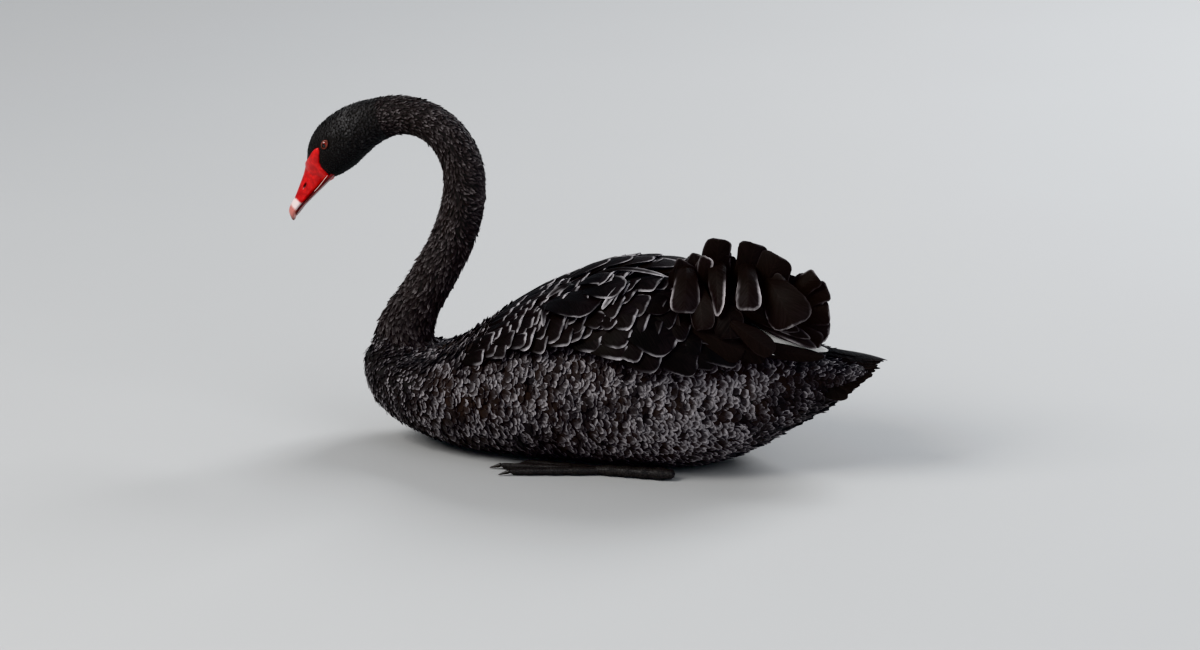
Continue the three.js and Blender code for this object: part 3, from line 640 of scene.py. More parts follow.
def plumeFinish(name, looks):
    f = Finish(name, {"Sheen Weight": looks["sheen"], "Sheen Roughness": 0.4,
                      "Specular IOR Level": looks["gloss"]})
    flat = f.add("UVMap", {"uv_map": "vane"})
    split = f.add("SeparateXYZ", None, {0: flat}).socket.node
    x, y = Wire(f, split.outputs[0]), Wire(f, split.outputs[1])
    out = f.maths("ABSOLUTE", x)
    luck, pale, warm, edge, tip = (f.mark(key) for key in ("luck", "pale", "warm", "edge", "tip"))
    # barbs run out from the shaft and towards the tip
    barb = y - out * looks["slant"]
    fine = f.noise(f.vector(barb * looks["barbs"], x * 12.0, luck * 37.0), 1.0)
    coarse = f.noise(f.vector(barb * looks["barbs"] * 0.3, x * 9.0, luck * 91.0), 1.0)
    streak = f.ramp(fine * 0.45 + coarse * 0.55, 0.38, 0.66)
    outer = f.ramp(tip, looks["tipFrom"], 1.02) * pale * (streak * 0.8 + 0.2)
    ragged = edge + (streak - 0.5) * looks["fray"]
    rim = 1.0 - f.ramp(ragged / (pale + 0.5), 0.0, looks["rimWidth"])
    rim = rim * f.ramp(tip, looks["rimFrom"], looks["rimFrom"] + 0.4)
    shaft = (1.0 - f.ramp(out, 0.002, looks["shaft"])) * looks["shaftShare"]
    body = f.mix(luck, looks["dark"], looks["mid"])
    body = f.mix(warm, body, looks["brown"])
    body = f.mix(streak * looks["streakShare"], body, looks["light"])
    body = f.mix(f.maths("MULTIPLY", outer, looks["tipShare"], True), body, looks["tipTone"])
    body = f.mix(shaft, body, looks["light"])
    # painted highlight: the rim is painted paler on one vane than on the other, as on the edge that the light
    # grazes, and it is worn off in places
    grazedVaneHighlight = f.ramp(x * (luck - 0.35) * 40.0, -1.0, 1.0) * looks["oneSidedRimHighlight"] + (1.0 - looks["oneSidedRimHighlight"])
    worn = f.noise(f.vector(x * 5.0, y * 5.0, luck * 53.0), 1.0, 1.0)
    left = f.ramp(worn, 0.34, 0.6) * looks["wear"] + (1.0 - looks["wear"])
    bright = pale * grazedVaneHighlight * (streak * 0.4 + 0.6) * left
    body = f.mix(f.maths("MULTIPLY", rim, bright, True), body, looks["rimTone"])
    bump = f.bump(fine * 0.5 + coarse, looks["bump"] * mm, 0.9)
    return f.feed(Base_Color=body, Roughness=looks["rough"] + (fine - 0.5) * 0.3, Normal=bump)


plumeBase = {
    # oneSidedRimHighlight sets how much of the rim's painted highlight falls on one vane only
    "sheen": 0.02, "gloss": 0.16, "oneSidedRimHighlight": 0.65, "wear": 0.85, "slant": 1.1, "barbs": 110.0,
    "fray": 1.0, "rimWidth": 2.6, "rimFrom": 0.4, "tipFrom": 0.5, "tipShare": 0.8, "shaft": 0.012,
    "shaftShare": 0.3, "streakShare": 0.5, "bump": 0.5, "rough": 0.55,
    "dark": (0.0015, 0.0013, 0.0013), "mid": (0.004, 0.0034, 0.0033),
    "brown": (0.012, 0.0078, 0.006), "light": (0.01, 0.0085, 0.008), "tipTone": (0.028, 0.0235, 0.0245),
    "rimTone": (0.74, 0.68, 0.69),
}


def skinFinish(name):
    f = Finish(name, {"Sheen Weight": 0.1})
    grain = f.noise(f.place(), 400.0, 3.0)
    colour = f.mix(grain, (0.004, 0.0035, 0.0035), (0.012, 0.01, 0.009))
    return f.feed(Base_Color=colour, Roughness=0.75 + grain * 0.1, Normal=f.bump(grain, 0.4 * mm, 0.6))


# Small feathers of head, neck and body: roots spread over the skin, each laid along it

coat = {
    # where the lie turns from the body's to the neck's: shares of the spine, then the farthest distance from
    # it and the last x, each with the width of its soft edge
    "spineFlow": (0.05, 0.17), "neckReach": (64, 14), "neckLast": (-150, 22),
    "fall": smooth([(-290, -1.0), (-230, -0.7), (-150, -0.25), (0, -0.2), (130, -0.2), (230, 0.1)]),
    "patch": 0.003, "tries": 4.5,
    # the neck and head: shares of the spine where each begins, how near to it and how high above the floor
    "neckFrom": 0.1, "headFrom": 0.775, "spineNear": 60, "neckLow": 108, "headLow": 250,
    "underWing": (-118, 205, 0.28),  # x between which the wing hides the body, and how far above its edge
}


def flowAt(points, normals):
    share, _, off = spinePlace(points)
    _, run = spineAt(share)
    (low, high), (far, farEdge), (last, lastEdge) = coat["spineFlow"], coat["neckReach"], coat["neckLast"]
    near = np.clip((share - low) / (high - low), 0, 1)
    near = near * np.clip((far - off) / farEdge, 0, 1) * np.clip((last - points[:, 0]) / lastEdge, 0, 1)
    back = unit(join3(1, 0, coat["fall"](points[:, 0])))
    way = -run * near[:, None] + back * (1 - near[:, None])
    return unit(way - (way * normals).sum(1, keepdims=True) * normals)


def nearest(tree, points):
    places, normals = np.empty_like(points), np.empty_like(points)
    for i, point in enumerate(points * mm):
        place, normal, _, _ = tree.find_nearest(point)
        places[i], normals[i] = place, normal
    return places / mm, normals


def scatter(rng, corners, keep, spacing):
    # points over the faces of the skin that keep() wants, none nearer to another than the spacing there
    middle = corners.mean(1)
    wanted = keep(middle)
    chosen = corners[wanted]
    area = np.linalg.norm(np.cross(chosen[:, 1] - chosen[:, 0], chosen[:, 2] - chosen[:, 0]), axis=1) / 2
    room = area / spacing(middle[wanted]) ** 2
    count = int(room.sum() * coat["tries"])
    picked = chosen[rng.choice(len(chosen), count, p=room / room.sum())]
    u, v = rng.random((2, count, 1))
    u, v = np.where(u + v > 1, 1 - u, u), np.where(u + v > 1, 1 - v, v)
    points = picked[:, 0] + (picked[:, 1] - picked[:, 0]) * u + (picked[:, 2] - picked[:, 0]) * v
    points = points[keep(points)]
    reach = spacing(points)
    lookup = KDTree(len(points))
    for i, point in enumerate(points):
        lookup.insert(point, i)
    lookup.balance()
    free = np.ones(len(points), bool)
    kept = []
    for i, point in enumerate(points):
        if free[i]:
            kept.append(i)
            for _, j, _ in lookup.find_range(point, reach[i]):
                free[j] = False
    return points[kept]


def layCoat(rng, tree, roots, looks):
    # walks the middle line of each feather over the skin; returns lines for featherMesh
    rows = looks["rows"]
    shares = rowShares(rows, 1.2)
    length = looks["length"](roots) * (1 + 0.14 * rng.standard_normal(len(roots)))
    heading = rng.normal(0, looks["stray"], len(roots))
    bend = rng.normal(0, looks["bend"], len(roots))
    lift = looks["lift"](roots) * (1 + 0.3 * rng.standard_normal(len(roots)))
    place, normal = nearest(tree, roots)
    centres, sides = [], []
    for j in range(rows):
        way = flowAt(place, normal)
        side = np.cross(way, normal)
        angle = (heading + bend * shares[j])[:, None]
        way = way * np.cos(angle) + side * np.sin(angle)
        rise = looks["sink"] + (lift - looks["sink"]) * shares[j] ** 1.1
        centres.append(place + normal * rise[:, None])
        sides.append(np.cross(way, normal))
        if j < rows - 1:
            step = length * (shares[j + 1] - shares[j])
            place, normal = nearest(tree, place + way * step[:, None])
    roll = rng.normal(0, looks["roll"], len(roots))[:, None, None]
    return frameLines(np.stack(centres, 1), np.stack(sides, 1), roll), length, shares


def growCoat(name, rng, tree, roots, looks, paint, material):
    lines, length, shares = layCoat(rng, tree, roots, looks)
    count, rows = len(roots), looks["rows"]
    width = looks["width"](roots) * (1 + 0.12 * rng.standard_normal(count))
    half = (width / 2)[:, None, None] * looks["tip"](shares)[None, :, None]
    half = half * (1 + looks["ragged"] * rng.standard_normal((count, rows, 2)) * shares[None, :, None])
    columns = looks["columns"]
    ripple = looks["ripple"] * rng.standard_normal((count, rows, columns)) * shares[None, :, None]
    form = {
        "columns": columns, "half": np.maximum(half, 0.05), "shares": shares, "length": length,
        "thick": np.broadcast_to(looks["thick"] * (1 - 0.6 * shares), (count, rows)),
        "camber": looks["camber"], "ridge": looks["ridge"], "ripple": ripple, "sweep": looks["sweep"],
        "jag": looks["jag"] * rng.standard_normal((count, columns)),
    }
    paint = {**paint, "patch": coat["patch"]}
    return featherMesh(name, lines, form, paint, material)


def clouds(points, size, seed):  # soft random patches between 0 and 1
    rng = np.random.default_rng(seed)
    total = np.zeros(len(points))
    for _ in range(7):
        way = unit(rng.standard_normal(3)) / size * rng.uniform(0.6, 1.7)
        total = total + np.sin(points @ way * turn + rng.uniform(0, turn))
    return np.clip(0.5 + total / 6, 0, 1)


def neckPatch(points):  # the root's place on the unrolled neck and head
    share, angle, _ = spinePlace(points)
    return np.stack([0.02 + 0.95 * share, 0.02 + 0.95 * ((angle / turn) % 1)], -1)


def bodyPatch(points):  # and on the unrolled torso and tail
    x = points[:, 0]
    angle = np.arctan2(points[:, 2] - torso["waist"](x), -points[:, 1])
    return np.stack([0.02 + 0.95 * (x + 290) / 640, 0.02 + 0.95 * ((angle / turn) % 1)], -1)


def splitCoat(roots, most):  # lists of roots, ordered along the bird, that keep each piece small enough
    order = np.argsort(roots[:, 0] + 0.2 * roots[:, 2])
    return np.array_split(roots[order], max(1, math.ceil(len(roots) / most)))


headLooks = {
    "rows": 5, "columns": 3, "tip": roundTip, "stray": 0.16, "bend": 0.15, "roll": 0.16, "sink": -0.5,
    "thick": 0.35, "camber": 0.22, "ridge": 0.0, "ragged": 0.1, "ripple": 0.03, "sweep": 0.3, "jag": 0.15,
    "length": lambda p: np.interp(faceNear(p), [0, 1], [6.6, 3.4]),
    "width": lambda p: np.interp(faceNear(p), [0, 1], [3.3, 1.9]),
    "lift": lambda p: np.interp(faceNear(p), [0, 1], [1.1, 0.6]),
    "spacing": lambda p: np.interp(faceNear(p), [0, 1], [2.25, 1.3]),
    "cheek": (-66, 24, 6, 15),  # where the light catches the velvet: ahead and up, each with its reach
}


def faceNear(points):  # 1 at the bill and the eye, 0 at the nape
    return np.clip((billPlace(points)[0] + 62) / 46, 0, 1)


def alongNeck(points):  # whether points lie on neck or head, and their share of the spine
    share, _, off = spinePlace(points)
    near = (off < coat["spineNear"]) & (points[:, 2] > coat["neckLow"])
    return near & (share > coat["neckFrom"]), share


def onHead(points):
    near, share = alongNeck(points)
    ahead, side, up = billPlace(points)
    wide, tall = eye["stretch"]
    eyeGap = np.hypot((ahead - eye["ahead"]) / wide, (up - eye["up"]) / tall)
    bare = (ahead > borderAhead(up) - 0.4) | ((eyeGap < eye["clear"]) & (np.abs(side) > 12))
    inBill = (ahead > -3) & (up > -13.5)
    return near & (share > coat["headFrom"]) & ~bare & ~inBill & (points[:, 2] > coat["headLow"])


neckLooks = {
    "rows": 5, "columns": 3, "tip": plumeTip, "stray": 0.15, "bend": 0.4, "roll": 0.3, "sink": -0.6,
    "thick": 0.4, "camber": 0.3, "ridge": 0.1, "ragged": 0.1, "ripple": 0.04, "sweep": 0.5, "jag": 0.4,
    "length": lambda p: np.interp(spinePlace(p)[0], [0.08, 0.3, 0.7, 0.8], [15, 12, 10.5, 7]),
    "width": lambda p: np.interp(spinePlace(p)[0], [0.08, 0.3, 0.7, 0.8], [4.2, 2.9, 2.6, 2.3]),
    "lift": lambda p: furrow(p) * np.interp(spinePlace(p)[0], [0.08, 0.3, 0.7, 0.8], [2.6, 1.6, 1.3, 1.0]),
    "spacing": lambda p: np.interp(spinePlace(p)[0], [0.08, 0.3, 0.7, 0.8], [3.1, 2.35, 2.15, 1.85]),
    "furrows": 22, "most": 5000,
}


def furrow(points):  # neck plumes lie in soft, wavering ridges
    share, angle, _ = spinePlace(points)
    sway = np.sin(share * 60) * 0.9 + np.sin(share * 143 + 1) * 0.5
    return 0.9 + 0.35 * np.sin(angle * neckLooks["furrows"] + sway)


def onNeck(points):
    near, share = alongNeck(points)
    return near & (share <= coat["headFrom"])


def onBody(points):
    x = points[:, 0]
    angle = np.arctan2(points[:, 2] - torso["waist"](x), np.abs(points[:, 1]))
    first, last, above = coat["underWing"]
    underWing = (x > first) & (x < last) & (angle > edgeAngle(x) + above)
    return ~alongNeck(points)[0] & ~underWing & (points[:, 2] > skinForm["torsoLowest"])


def zone(points, breast, mantle, flank, belly, rump):  # a value that differs over the body
    x, z = points[:, 0], points[:, 2]
    side = np.interp(z, [4, 40, 125, 170], [belly, flank, flank, mantle])
    front = np.clip((-x - 170) / 60, 0, 1)
    behind = np.clip((x - 170) / 70, 0, 1)
    value = side + (breast - side) * front
    return value + (rump - value) * behind


bodyLooks = {
    "rows": 6, "columns": 3, "tip": roundTip, "stray": 0.14, "bend": 0.3, "roll": 0.12, "sink": -1.0,
    "thick": 0.35, "camber": 0.14, "ridge": 0.0, "ragged": 0.1, "ripple": 0.1, "sweep": 0.35, "jag": 0.6,
    "length": lambda p: zone(p, 10, 16, 18, 17, 16),
    "width": lambda p: zone(p, 4.8, 9, 10, 11, 8.5),
    "lift": lambda p: zone(p, 1.6, 1.5, 2.5, 2.1, 2.2) * (0.35 + 1.3 * tufts(p, 1)),
    "spacing": lambda p: zone(p, 2.9, 3.9, 3.35, 5.4, 3.6),
    "most": 4300,
}


def tufts(points, seed):  # feathers stand and shade together in tufts that are taller than wide
    return clouds(points * (1, 1, 0.45), 15, seed)


def paintFor(rng, roots, place, pale, warm):
    return {
        "luck": rng.random(len(roots)), "place": place(roots),
        "pale": np.clip(pale + 0.1 * rng.standard_normal(len(roots)), 0, 1),
        "warm": np.clip(warm + 0.1 * rng.standard_normal(len(roots)), 0, 1),
    }


def buildCoat(tree, corners):
    velvet = plumeFinish("headVelvet", {
        **plumeBase, "barbs": 400.0, "rimTone": (0.15, 0.147, 0.147), "rimWidth": 0.5, "tipFrom": 0.2,
        "tipTone": (0.16, 0.156, 0.156), "tipShare": 1.0, "bump": 0.15, "shaftShare": 0.0, "fray": 0.3,
        "sheen": 0.1, "dark": (0.017, 0.0166, 0.0166), "mid": (0.035, 0.034, 0.034),
        "light": (0.052, 0.0505, 0.0505),
    })
    streaks = plumeFinish("neckPlumes", {
        **plumeBase, "barbs": 300.0, "rimTone": (0.24, 0.215, 0.215), "rimWidth": 0.8, "tipFrom": 0.25,
        "tipTone": (0.22, 0.197, 0.197), "bump": 0.2, "shaftShare": 0.0, "fray": 0.4,
        "dark": (0.012, 0.0108, 0.0108), "mid": (0.026, 0.0233, 0.0233), "light": (0.05, 0.045, 0.0445),
    })
    grey = plumeFinish("bodyFeathers", {
        **plumeBase, "barbs": 160.0, "rimTone": (0.5, 0.465, 0.48), "rimWidth": 1.7, "tipFrom": 0.4,
        "tipTone": (0.19, 0.175, 0.182), "tipShare": 1.0, "fray": 1.8, "dark": (0.009, 0.0082, 0.0085),
        "mid": (0.014, 0.0128, 0.013), "light": (0.03, 0.0275, 0.028), "brown": (0.03, 0.021, 0.017),
        "oneSidedRimHighlight": 0.1, "wear": 0.5, "sheen": 0.08, "rough": 0.65, "rimFrom": 0.5, "shaftShare": 0.1,
    })
    rng = np.random.default_rng(11)
    roots = scatter(rng, corners, onHead, headLooks["spacing"])
    ahead, _, up = billPlace(roots)
    x, wide, z, tall = headLooks["cheek"]
    cheek = np.exp(-((ahead - x) / wide) ** 2 - ((up - z) / tall) ** 2)
    paint = paintFor(rng, roots, neckPatch, 0.12 + 0.6 * cheek * (0.5 + clouds(roots, 24, 2)), 0.1)
    dress(growCoat("coatHead", rng, tree, roots, headLooks, paint, velvet), [])
    roots = scatter(rng, corners, onNeck, neckLooks["spacing"])
    for i, part in enumerate(splitCoat(roots, neckLooks["most"])):
        ridge = 0.9 * (furrow(part) - 0.55)  # the crests of the ridges catch a browner light
        pale = ridge * (0.2 + 1.3 * clouds(part, 14, 3)) + 0.35 * clouds(part, 8, 9) ** 2
        paint = paintFor(rng, part, neckPatch, pale, 0.3 * clouds(part, 40, 4))
        dress(growCoat(f"coatNeck{i + 1}", rng, tree, part, neckLooks, paint, streaks), [])
    roots = scatter(rng, corners, onBody, bodyLooks["spacing"])
    for i, part in enumerate(splitCoat(roots, bodyLooks["most"])):
        # the body feathers' paleness, patchy by tufts and strongest on the flank, is partly their own pale
        # tips and partly a painted sheen of reflected sky
        mottleAndSkySheen = 0.04 + 2.1 * tufts(part, 5) ** 1.6 * (0.35 + clouds(part, 45, 8))
        behind = np.interp(part[:, 0], [30, 90, 160, 210], [1, 1.8, 2.2, 1])
        pale = zone(part, 0.6, 0.5, 1.0, 0.5, 0.45) * mottleAndSkySheen * behind
        warm = 0.7 * clouds(part, 60, 6) * zone(part, 0.2, 0.5, 1.0, 0.6, 0.5)
        paint = paintFor(rng, part, bodyPatch, pale, warm)
        dress(growCoat(f"coatBody{i + 1}", rng, tree, part, bodyLooks, paint, grey), [])


# Wings: tiers of broad feathers over the pad, and long curled ones that stand up behind the back

tiers = {
    "rows": 16, "columns": 9, "top": math.radians(88), "overlap": 0.46, "shingle": math.radians(4.5),
    "wavy": 0.05, "camber": 0.26, "sink": 3.2,
    "lean": 34,  # how far the upper end of a row lies behind its lower end
    # the farthest that feathers stand off the pad, by the angle
    "highest": smooth([(0.4, 6), (0.7, 10), (1.2, 17), (1.6, 18)]),
    "ripple": ([-140, 0, 60, 200], [0.3, 0.8, 1.6, 1.8]), "bluntFrom": 9,
    # x of the root, length, width, lift and curl in degrees, drift down in degrees, paleness of the rim,
    # and the share of the wing's height above which the tier grows
    "rowsOfFeathers": [
        (-143, 34, 22, 5, 0, 3, 0.9, 0.0), (-133, 35, 23, 5, 0, 3, 0.95, 0.0),
        (-122, 36, 25, 5, 0, 3, 1.0, 0.0), (-111, 38, 26, 5, 2, 3, 1.0, 0.0),
        (-100, 39, 28, 6, 2, 3, 1.0, 0.0), (-89, 41, 29, 6, 2, 3, 1.0, 0.0),
        (-77, 43, 31, 6, 3, 3, 1.0, 0.0), (-65, 46, 33, 6, 3, 3, 1.0, 0.0), (-52, 49, 35, 7, 4, 3, 0.95, 0.0),
        (-38, 52, 37, 7, 4, 3, 0.85, 0.0), (-23, 55, 38, 8, 5, 3, 0.85, 0.0), (-7, 58, 39, 8, 6, 3, 0.8, 0.0),
        (10, 60, 39, 9, 7, 3, 0.85, 0.0), (28, 62, 40, 9, 8, 3, 0.75, 0.0), (48, 65, 41, 10, 9, 3, 0.6, 0.0),
        (70, 68, 42, 10, 10, 3, 0.3, 0.0), (94, 70, 43, 11, 10, 2, 0.3, 0.05),
        (119, 72, 43, 11, 10, 2, 0.35, 0.1), (144, 72, 42, 10, 9, 1, 0.35, 0.2),
        (168, 70, 40, 9, 8, 0, 0.35, 0.35),
    ],
}

scapulars = {  # single feathers over the tiers, as (x, degrees) of root and tip on the wing's pad
    "columns": 9, "wavy": 0.05, "camber": 0.07,
    "feathers": [
        # root, tip, width, base, lift and curl in degrees, paleness, warmth
        ((-50, 62), (26, 49), 54, 8, 5, 0, 0.75, 0.0),
        ((-16, 73), (34, 67), 26, 8, 5, 0, 1.0, 0.0),
        ((-8, 67), (52, 59), 44, 8, 6, 2, 1.0, 0.1),
        ((6, 46), (39, 42), 27, 8, 7, 0, 0.9, 0.2),
        ((22, 46), (55, 42), 28, 8.5, 8, 0, 0.9, 0.1),
        ((38, 46), (72, 42), 28, 9, 9, 2, 0.9, 0.2),
        ((48, 45), (126, 36), 56, 9, 6, 3, 0.75, 0.0),
        ((60, 58), (112, 53), 34, 7, 8, 6, 0.2, 0.2),
        ((-40, 82), (16, 86), 26, 4, 9, 0, 0.9, 0.2),
        ((-16, 80), (44, 86), 28, 5, 11, 0, 0.8, 0.2),
        ((12, 80), (70, 86), 28, 6, 13, 0, 0.8, 0.3),
        ((40, 79), (98, 85), 30, 7, 14, 2, 0.7, 0.3),
        ((66, 78), (122, 84), 30, 8, 14, 4, 0.7, 0.3),
        # narrow pale ones
        ((-10, 76), (97, 72), 9, 15, 2, 0, 1.0, 0.2),
        ((57, 72), (34, 48), 8, 14, 2, 0, 1.0, 0.2),
        ((-14, 73), (-42, 60), 7, 12, 2, 0, 0.9, 0.2),
        ((-44, 61), (-36, 42), 6, 12, 2, 0, 0.8, 0.2),
        ((12, 84), (44, 89), 7, 14, 2, 0, 0.9, 0.2),
        ((66, 76), (78, 88), 7, 16, 2, 0, 0.9, 0.2),
    ],
}

sides = {
    "left": {
        "seed": 31, "mirror": 1, "raise": 1.0, "crestShift": (0, 0, 0), "scapulars": 19,
        "flightTip": (289, -52, 161),
    },
    "right": {
        "seed": 57, "mirror": -1, "raise": 0.55, "crestShift": (-58, 8, -60), "scapulars": 13,
        "flightTip": (250, -48, 160),
    },
}

crest = {
    "rows": 20, "columns": 9, "wavy": 0.1, "camber": 0.26, "facing": (0, -1, 0.25),
    "behind": (-3, 5, -2), "astray": (5, 1.5, 3),  # where the second feather behind each one lies
    "lowest": 165, "rise": 115, "leastMove": 0.6, "rootDrop": (1, 1, 0.4),  # how the smaller crest differs
    "longTo": 19, "longDroopTo": 25,  # widths up to which feathers have the long, pointed outline
    # standing feathers: root, tip, width, bow, curl of the tip outwards, twist in degrees, ripple,
    # paleness and bluntness
    "standing": [
        ((151, -50, 203), (159, -54, 283), 34, 4, 3, 10, 1.4, 0.25, 0.1),
        ((160, -46, 208), (170, -50, 263), 20, -4, 3, -12, 1.6, 0.6, 0.3),
        ((139, -58, 210), (148, -66, 265), 20, 5, 4, 8, 1.2, 0.75, 0.2),
        ((175, -44, 194), (174, -44, 255), 24, 3, 2, 0, 1.0, 0.1, 0.5),
        ((179, -48, 196), (202, -50, 279), 36, 6, 3, -4, 1.5, 0.15, 1.0),
        ((196, -52, 191), (231, -54, 268), 44, 6, 4, 4, 1.8, 0.12, 0.7),
        ((202, -56, 187), (246, -64, 239), 40, 7, 5, -6, 2.0, 0.15, 0.8),
        ((202, -64, 204), (259, -74, 210), 42, 8, 5, 8, 2.0, 0.6, 0.6),
        ((231, -46, 204), (273, -48, 247), 26, 4, 2, 10, 1.0, 0.3, 1.0),
        ((230, -44, 201), (286, -44, 230), 27, 5, 2, -8, 1.0, 0.35, 1.0),
        ((233, -46, 192), (289, -44, 203), 30, 6, 4, 6, 1.2, 0.45, 0.4),
        ((230, -50, 188), (288, -44, 180), 32, 7, 4, 6, 1.2, 0.5, 0.2),
        ((224, -56, 189), (281, -54, 166), 28, 7, 4, -6, 1.4, 0.45, 0.2),
        ((174, -84, 218), (279, -70, 166), 16, 2, 0, 4, 0.5, 0.7, 0.0),
        ((174, -86, 223), (273, -74, 178), 16, 3, 1, 3, 0.6, 0.4, 0.0),
        ((172, -88, 220), (261, -78, 187), 18, 3, 1, 3, 0.6, 0.3, 0.0),
        ((136, -96, 189), (202, -98, 162), 40, 6, 3, 5, 1.0, 0.0, 0.2),
        ((187, -104, 199), (237, -100, 166), 24, 3, 1, 3, 0.8, 0.05, 0.0),
        ((177, -88, 166), (287, -64, 154), 18, 1, 0, 0, 0.8, 0.0, 0.0),
        ((166, -100, 181), (226, -96, 156), 20, 2, 0, 0, 0.8, 0.0, 0.0),
        ((136, -90, 212), (197, -98, 188), 38, 6, 3, 5, 1.2, 0.1, 0.4),
        ((104, -58, 214), (126, -62, 254), 30, 5, 4, -12, 1.6, 0.4, 0.3),
        ((118, -52, 212), (136, -52, 262), 28, 5, 4, 12, 1.6, 0.35, 0.5),
    ],
    # drooping feathers: root, crown of the bend, tip, width, twist in degrees, ripple, paleness
    "drooping": [
        ((116, -44, 250), (132, -92, 259), (132, -108, 206), 31, 14, 2.6, 0.75),
        ((150, -46, 258), (168, -90, 259), (171, -106, 205), 22, -16, 2.6, 0.9),
        ((186, -42, 255), (204, -90, 264), (208, -108, 215), 28, 8, 1.8, 1.0),
        ((208, -44, 241), (234, -90, 245), (258, -96, 197), 50, -8, 2.2, 0.55),
        ((131, -56, 233), (147, -96, 232), (155, -110, 188), 28, -12, 2.4, 0.25),
        ((168, -56, 233), (182, -96, 228), (188, -108, 180), 34, 12, 2.2, 0.1),
        ((96, -60, 219), (107, -96, 217), (116, -110, 166), 32, -10, 2.4, 0.35),
    ],
}


def atlas(count):  # a square cell for each feather on the map that keeps their colours
    cells = math.ceil(math.sqrt(count))
    i = np.arange(count)
    return np.stack([(i % cells) / cells, (i // cells) / cells], -1), 1 / cells


def broadForm(rng, looks, outline, width, length, ripple, shares):  # outline: half widths along each vane
    count, rows = len(width), len(shares)
    edge = shares[None, :, None] * rng.uniform(4, 9, (count, 1, 2)) + rng.uniform(0, turn, (count, 1, 2))
    half = (width / 2)[:, None, None] * outline[..., None] * (1 + looks["wavy"] * np.sin(edge))
    half = half * (1 + 0.012 * rng.standard_normal((count, rows, 2)))
    across = np.array(columnSets[looks["columns"]])
    phase = rng.uniform(0, turn, (count, 1, 1))
    waves = np.sin(across * rng.uniform(1.6, 3.4, (count, 1, 1)) + shares[:, None] * 5 + phase)
    waves = waves * np.abs(across) * shares[:, None] ** 1.5
    return {
        "columns": looks["columns"], "half": half, "shares": shares, "length": length,
        "thick": np.broadcast_to(0.8 * (1 - 0.6 * shares), (count, rows)), "camber": looks["camber"],
        "ridge": 0.5, "ripple": ripple[:, None, None] * waves, "sweep": 0.3,
        "jag": 0.4 * rng.standard_normal((count, len(across))),
    }


def overPad(x, angle, rise):  # middle lines over the wing's pad, and the way across them
    top = tiers["highest"](angle)
    centre = padPoint(x, angle, np.where(rise > 0, top * np.tanh(rise / top), rise))
    out = padPoint(x, angle, rise + 1) - padPoint(x, angle, rise)
    return centre, np.cross(np.gradient(centre, axis=1), out)


def tierFeathers(rng, own):
    x, angle, length, width, lift, curl, drift, pale = [], [], [], [], [], [], [], []
    for row, (at, reach, wide, up, kick, fall, rim, above) in enumerate(tiers["rowsOfFeathers"]):
        low = float(edgeAngle(float(at)))
        rib = padPoint(at, np.linspace(low, tiers["top"], 20))
        girth = np.linalg.norm(np.diff(rib, axis=0), axis=1).sum()
        count = max(3, round(girth * (1 - above) / (wide * tiers["overlap"])))
        step = (np.arange(count) + 0.3 + 0.4 * (row % 2) + 0.12 * rng.standard_normal(count)) / count
        share = above + (1 - above) * np.clip(step, 0.01, 0.99)
        lean = tiers["lean"] * np.clip(1 - at / 150, 0, 1) * share**1.5
        x.append(at + 1.8 * rng.standard_normal(count) + lean)
        angle.append(low + (tiers["top"] - low) * share)
        length.append(reach * (1 + 0.09 * rng.standard_normal(count)))
        width.append(wide * (1 + 0.09 * rng.standard_normal(count)))
        lift.append(up * (1 + 0.3 * rng.standard_normal(count)))
        curl.append(kick * own["raise"] * rng.uniform(0.3, 1.9, count))
        drift.append(np.full(count, fall))
        pale.append(rim * (1 + 0.1 * share * (at < 0)) + 0.15 * rng.standard_normal(count))
    x, angle, length, width, lift, curl, drift, pale = map(
        np.concatenate, (x, angle, length, width, lift, curl, drift, pale))
    shares = rowShares(tiers["rows"])
    t = shares[None]
    slope, kick = np.tan(np.radians(lift))[:, None], np.tan(np.radians(curl))[:, None]
    run = x[:, None] + length[:, None] * t
    way = angle[:, None] - np.radians(drift)[:, None] * t
    rise = length[:, None] * (t * slope + t**3 * kick) - tiers["sink"]
    centre, side = overPad(run, way, rise)
    roll = tiers["shingle"] + 0.05 * rng.standard_normal((len(x), 1, 1))
    lines = frameLines(centre, side, roll)
    ripple = np.interp(x, *tiers["ripple"])
    outline = np.where((curl > tiers["bluntFrom"])[:, None], bluntTip(shares), broadTip(shares))
    form = broadForm(rng, tiers, outline, width, length, ripple, shares)
    return lines, form, np.clip(pale, 0, 1), np.full(len(x), 0.1)


def scapularFeathers(rng, own):
    root, tip, width, base, lift, curl, pale, warm = (
        np.array(row, float) for row in zip(*scapulars["feathers"][:own["scapulars"]]))
    shares = rowShares(tiers["rows"])
    t = shares[None]
    x = root[:, 0:1] + (tip - root)[:, 0:1] * t
    angle = np.radians(root[:, 1:2] + (tip - root)[:, 1:2] * t)
    length = np.hypot(tip[:, 0] - root[:, 0], np.radians(tip[:, 1] - root[:, 1]) * 150)
    slope = np.tan(np.radians(lift))[:, None] * t + np.tan(np.radians(curl))[:, None] * t**3
    settle = base[:, None] * (0.4 + 0.6 * own["raise"]) * (1 - (1 - t) ** 4) - 3 * (1 - t) ** 4
    centre, side = overPad(x, angle, length[:, None] * slope * own["raise"] + settle)
    lines = frameLines(centre, side, tiers["shingle"] + 0.04 * rng.standard_normal((len(x), 1, 1)))
    form = broadForm(rng, scapulars, roundTip(shares), width, length, np.full(len(x), 0.7), shares)
    return lines, form, pale, warm


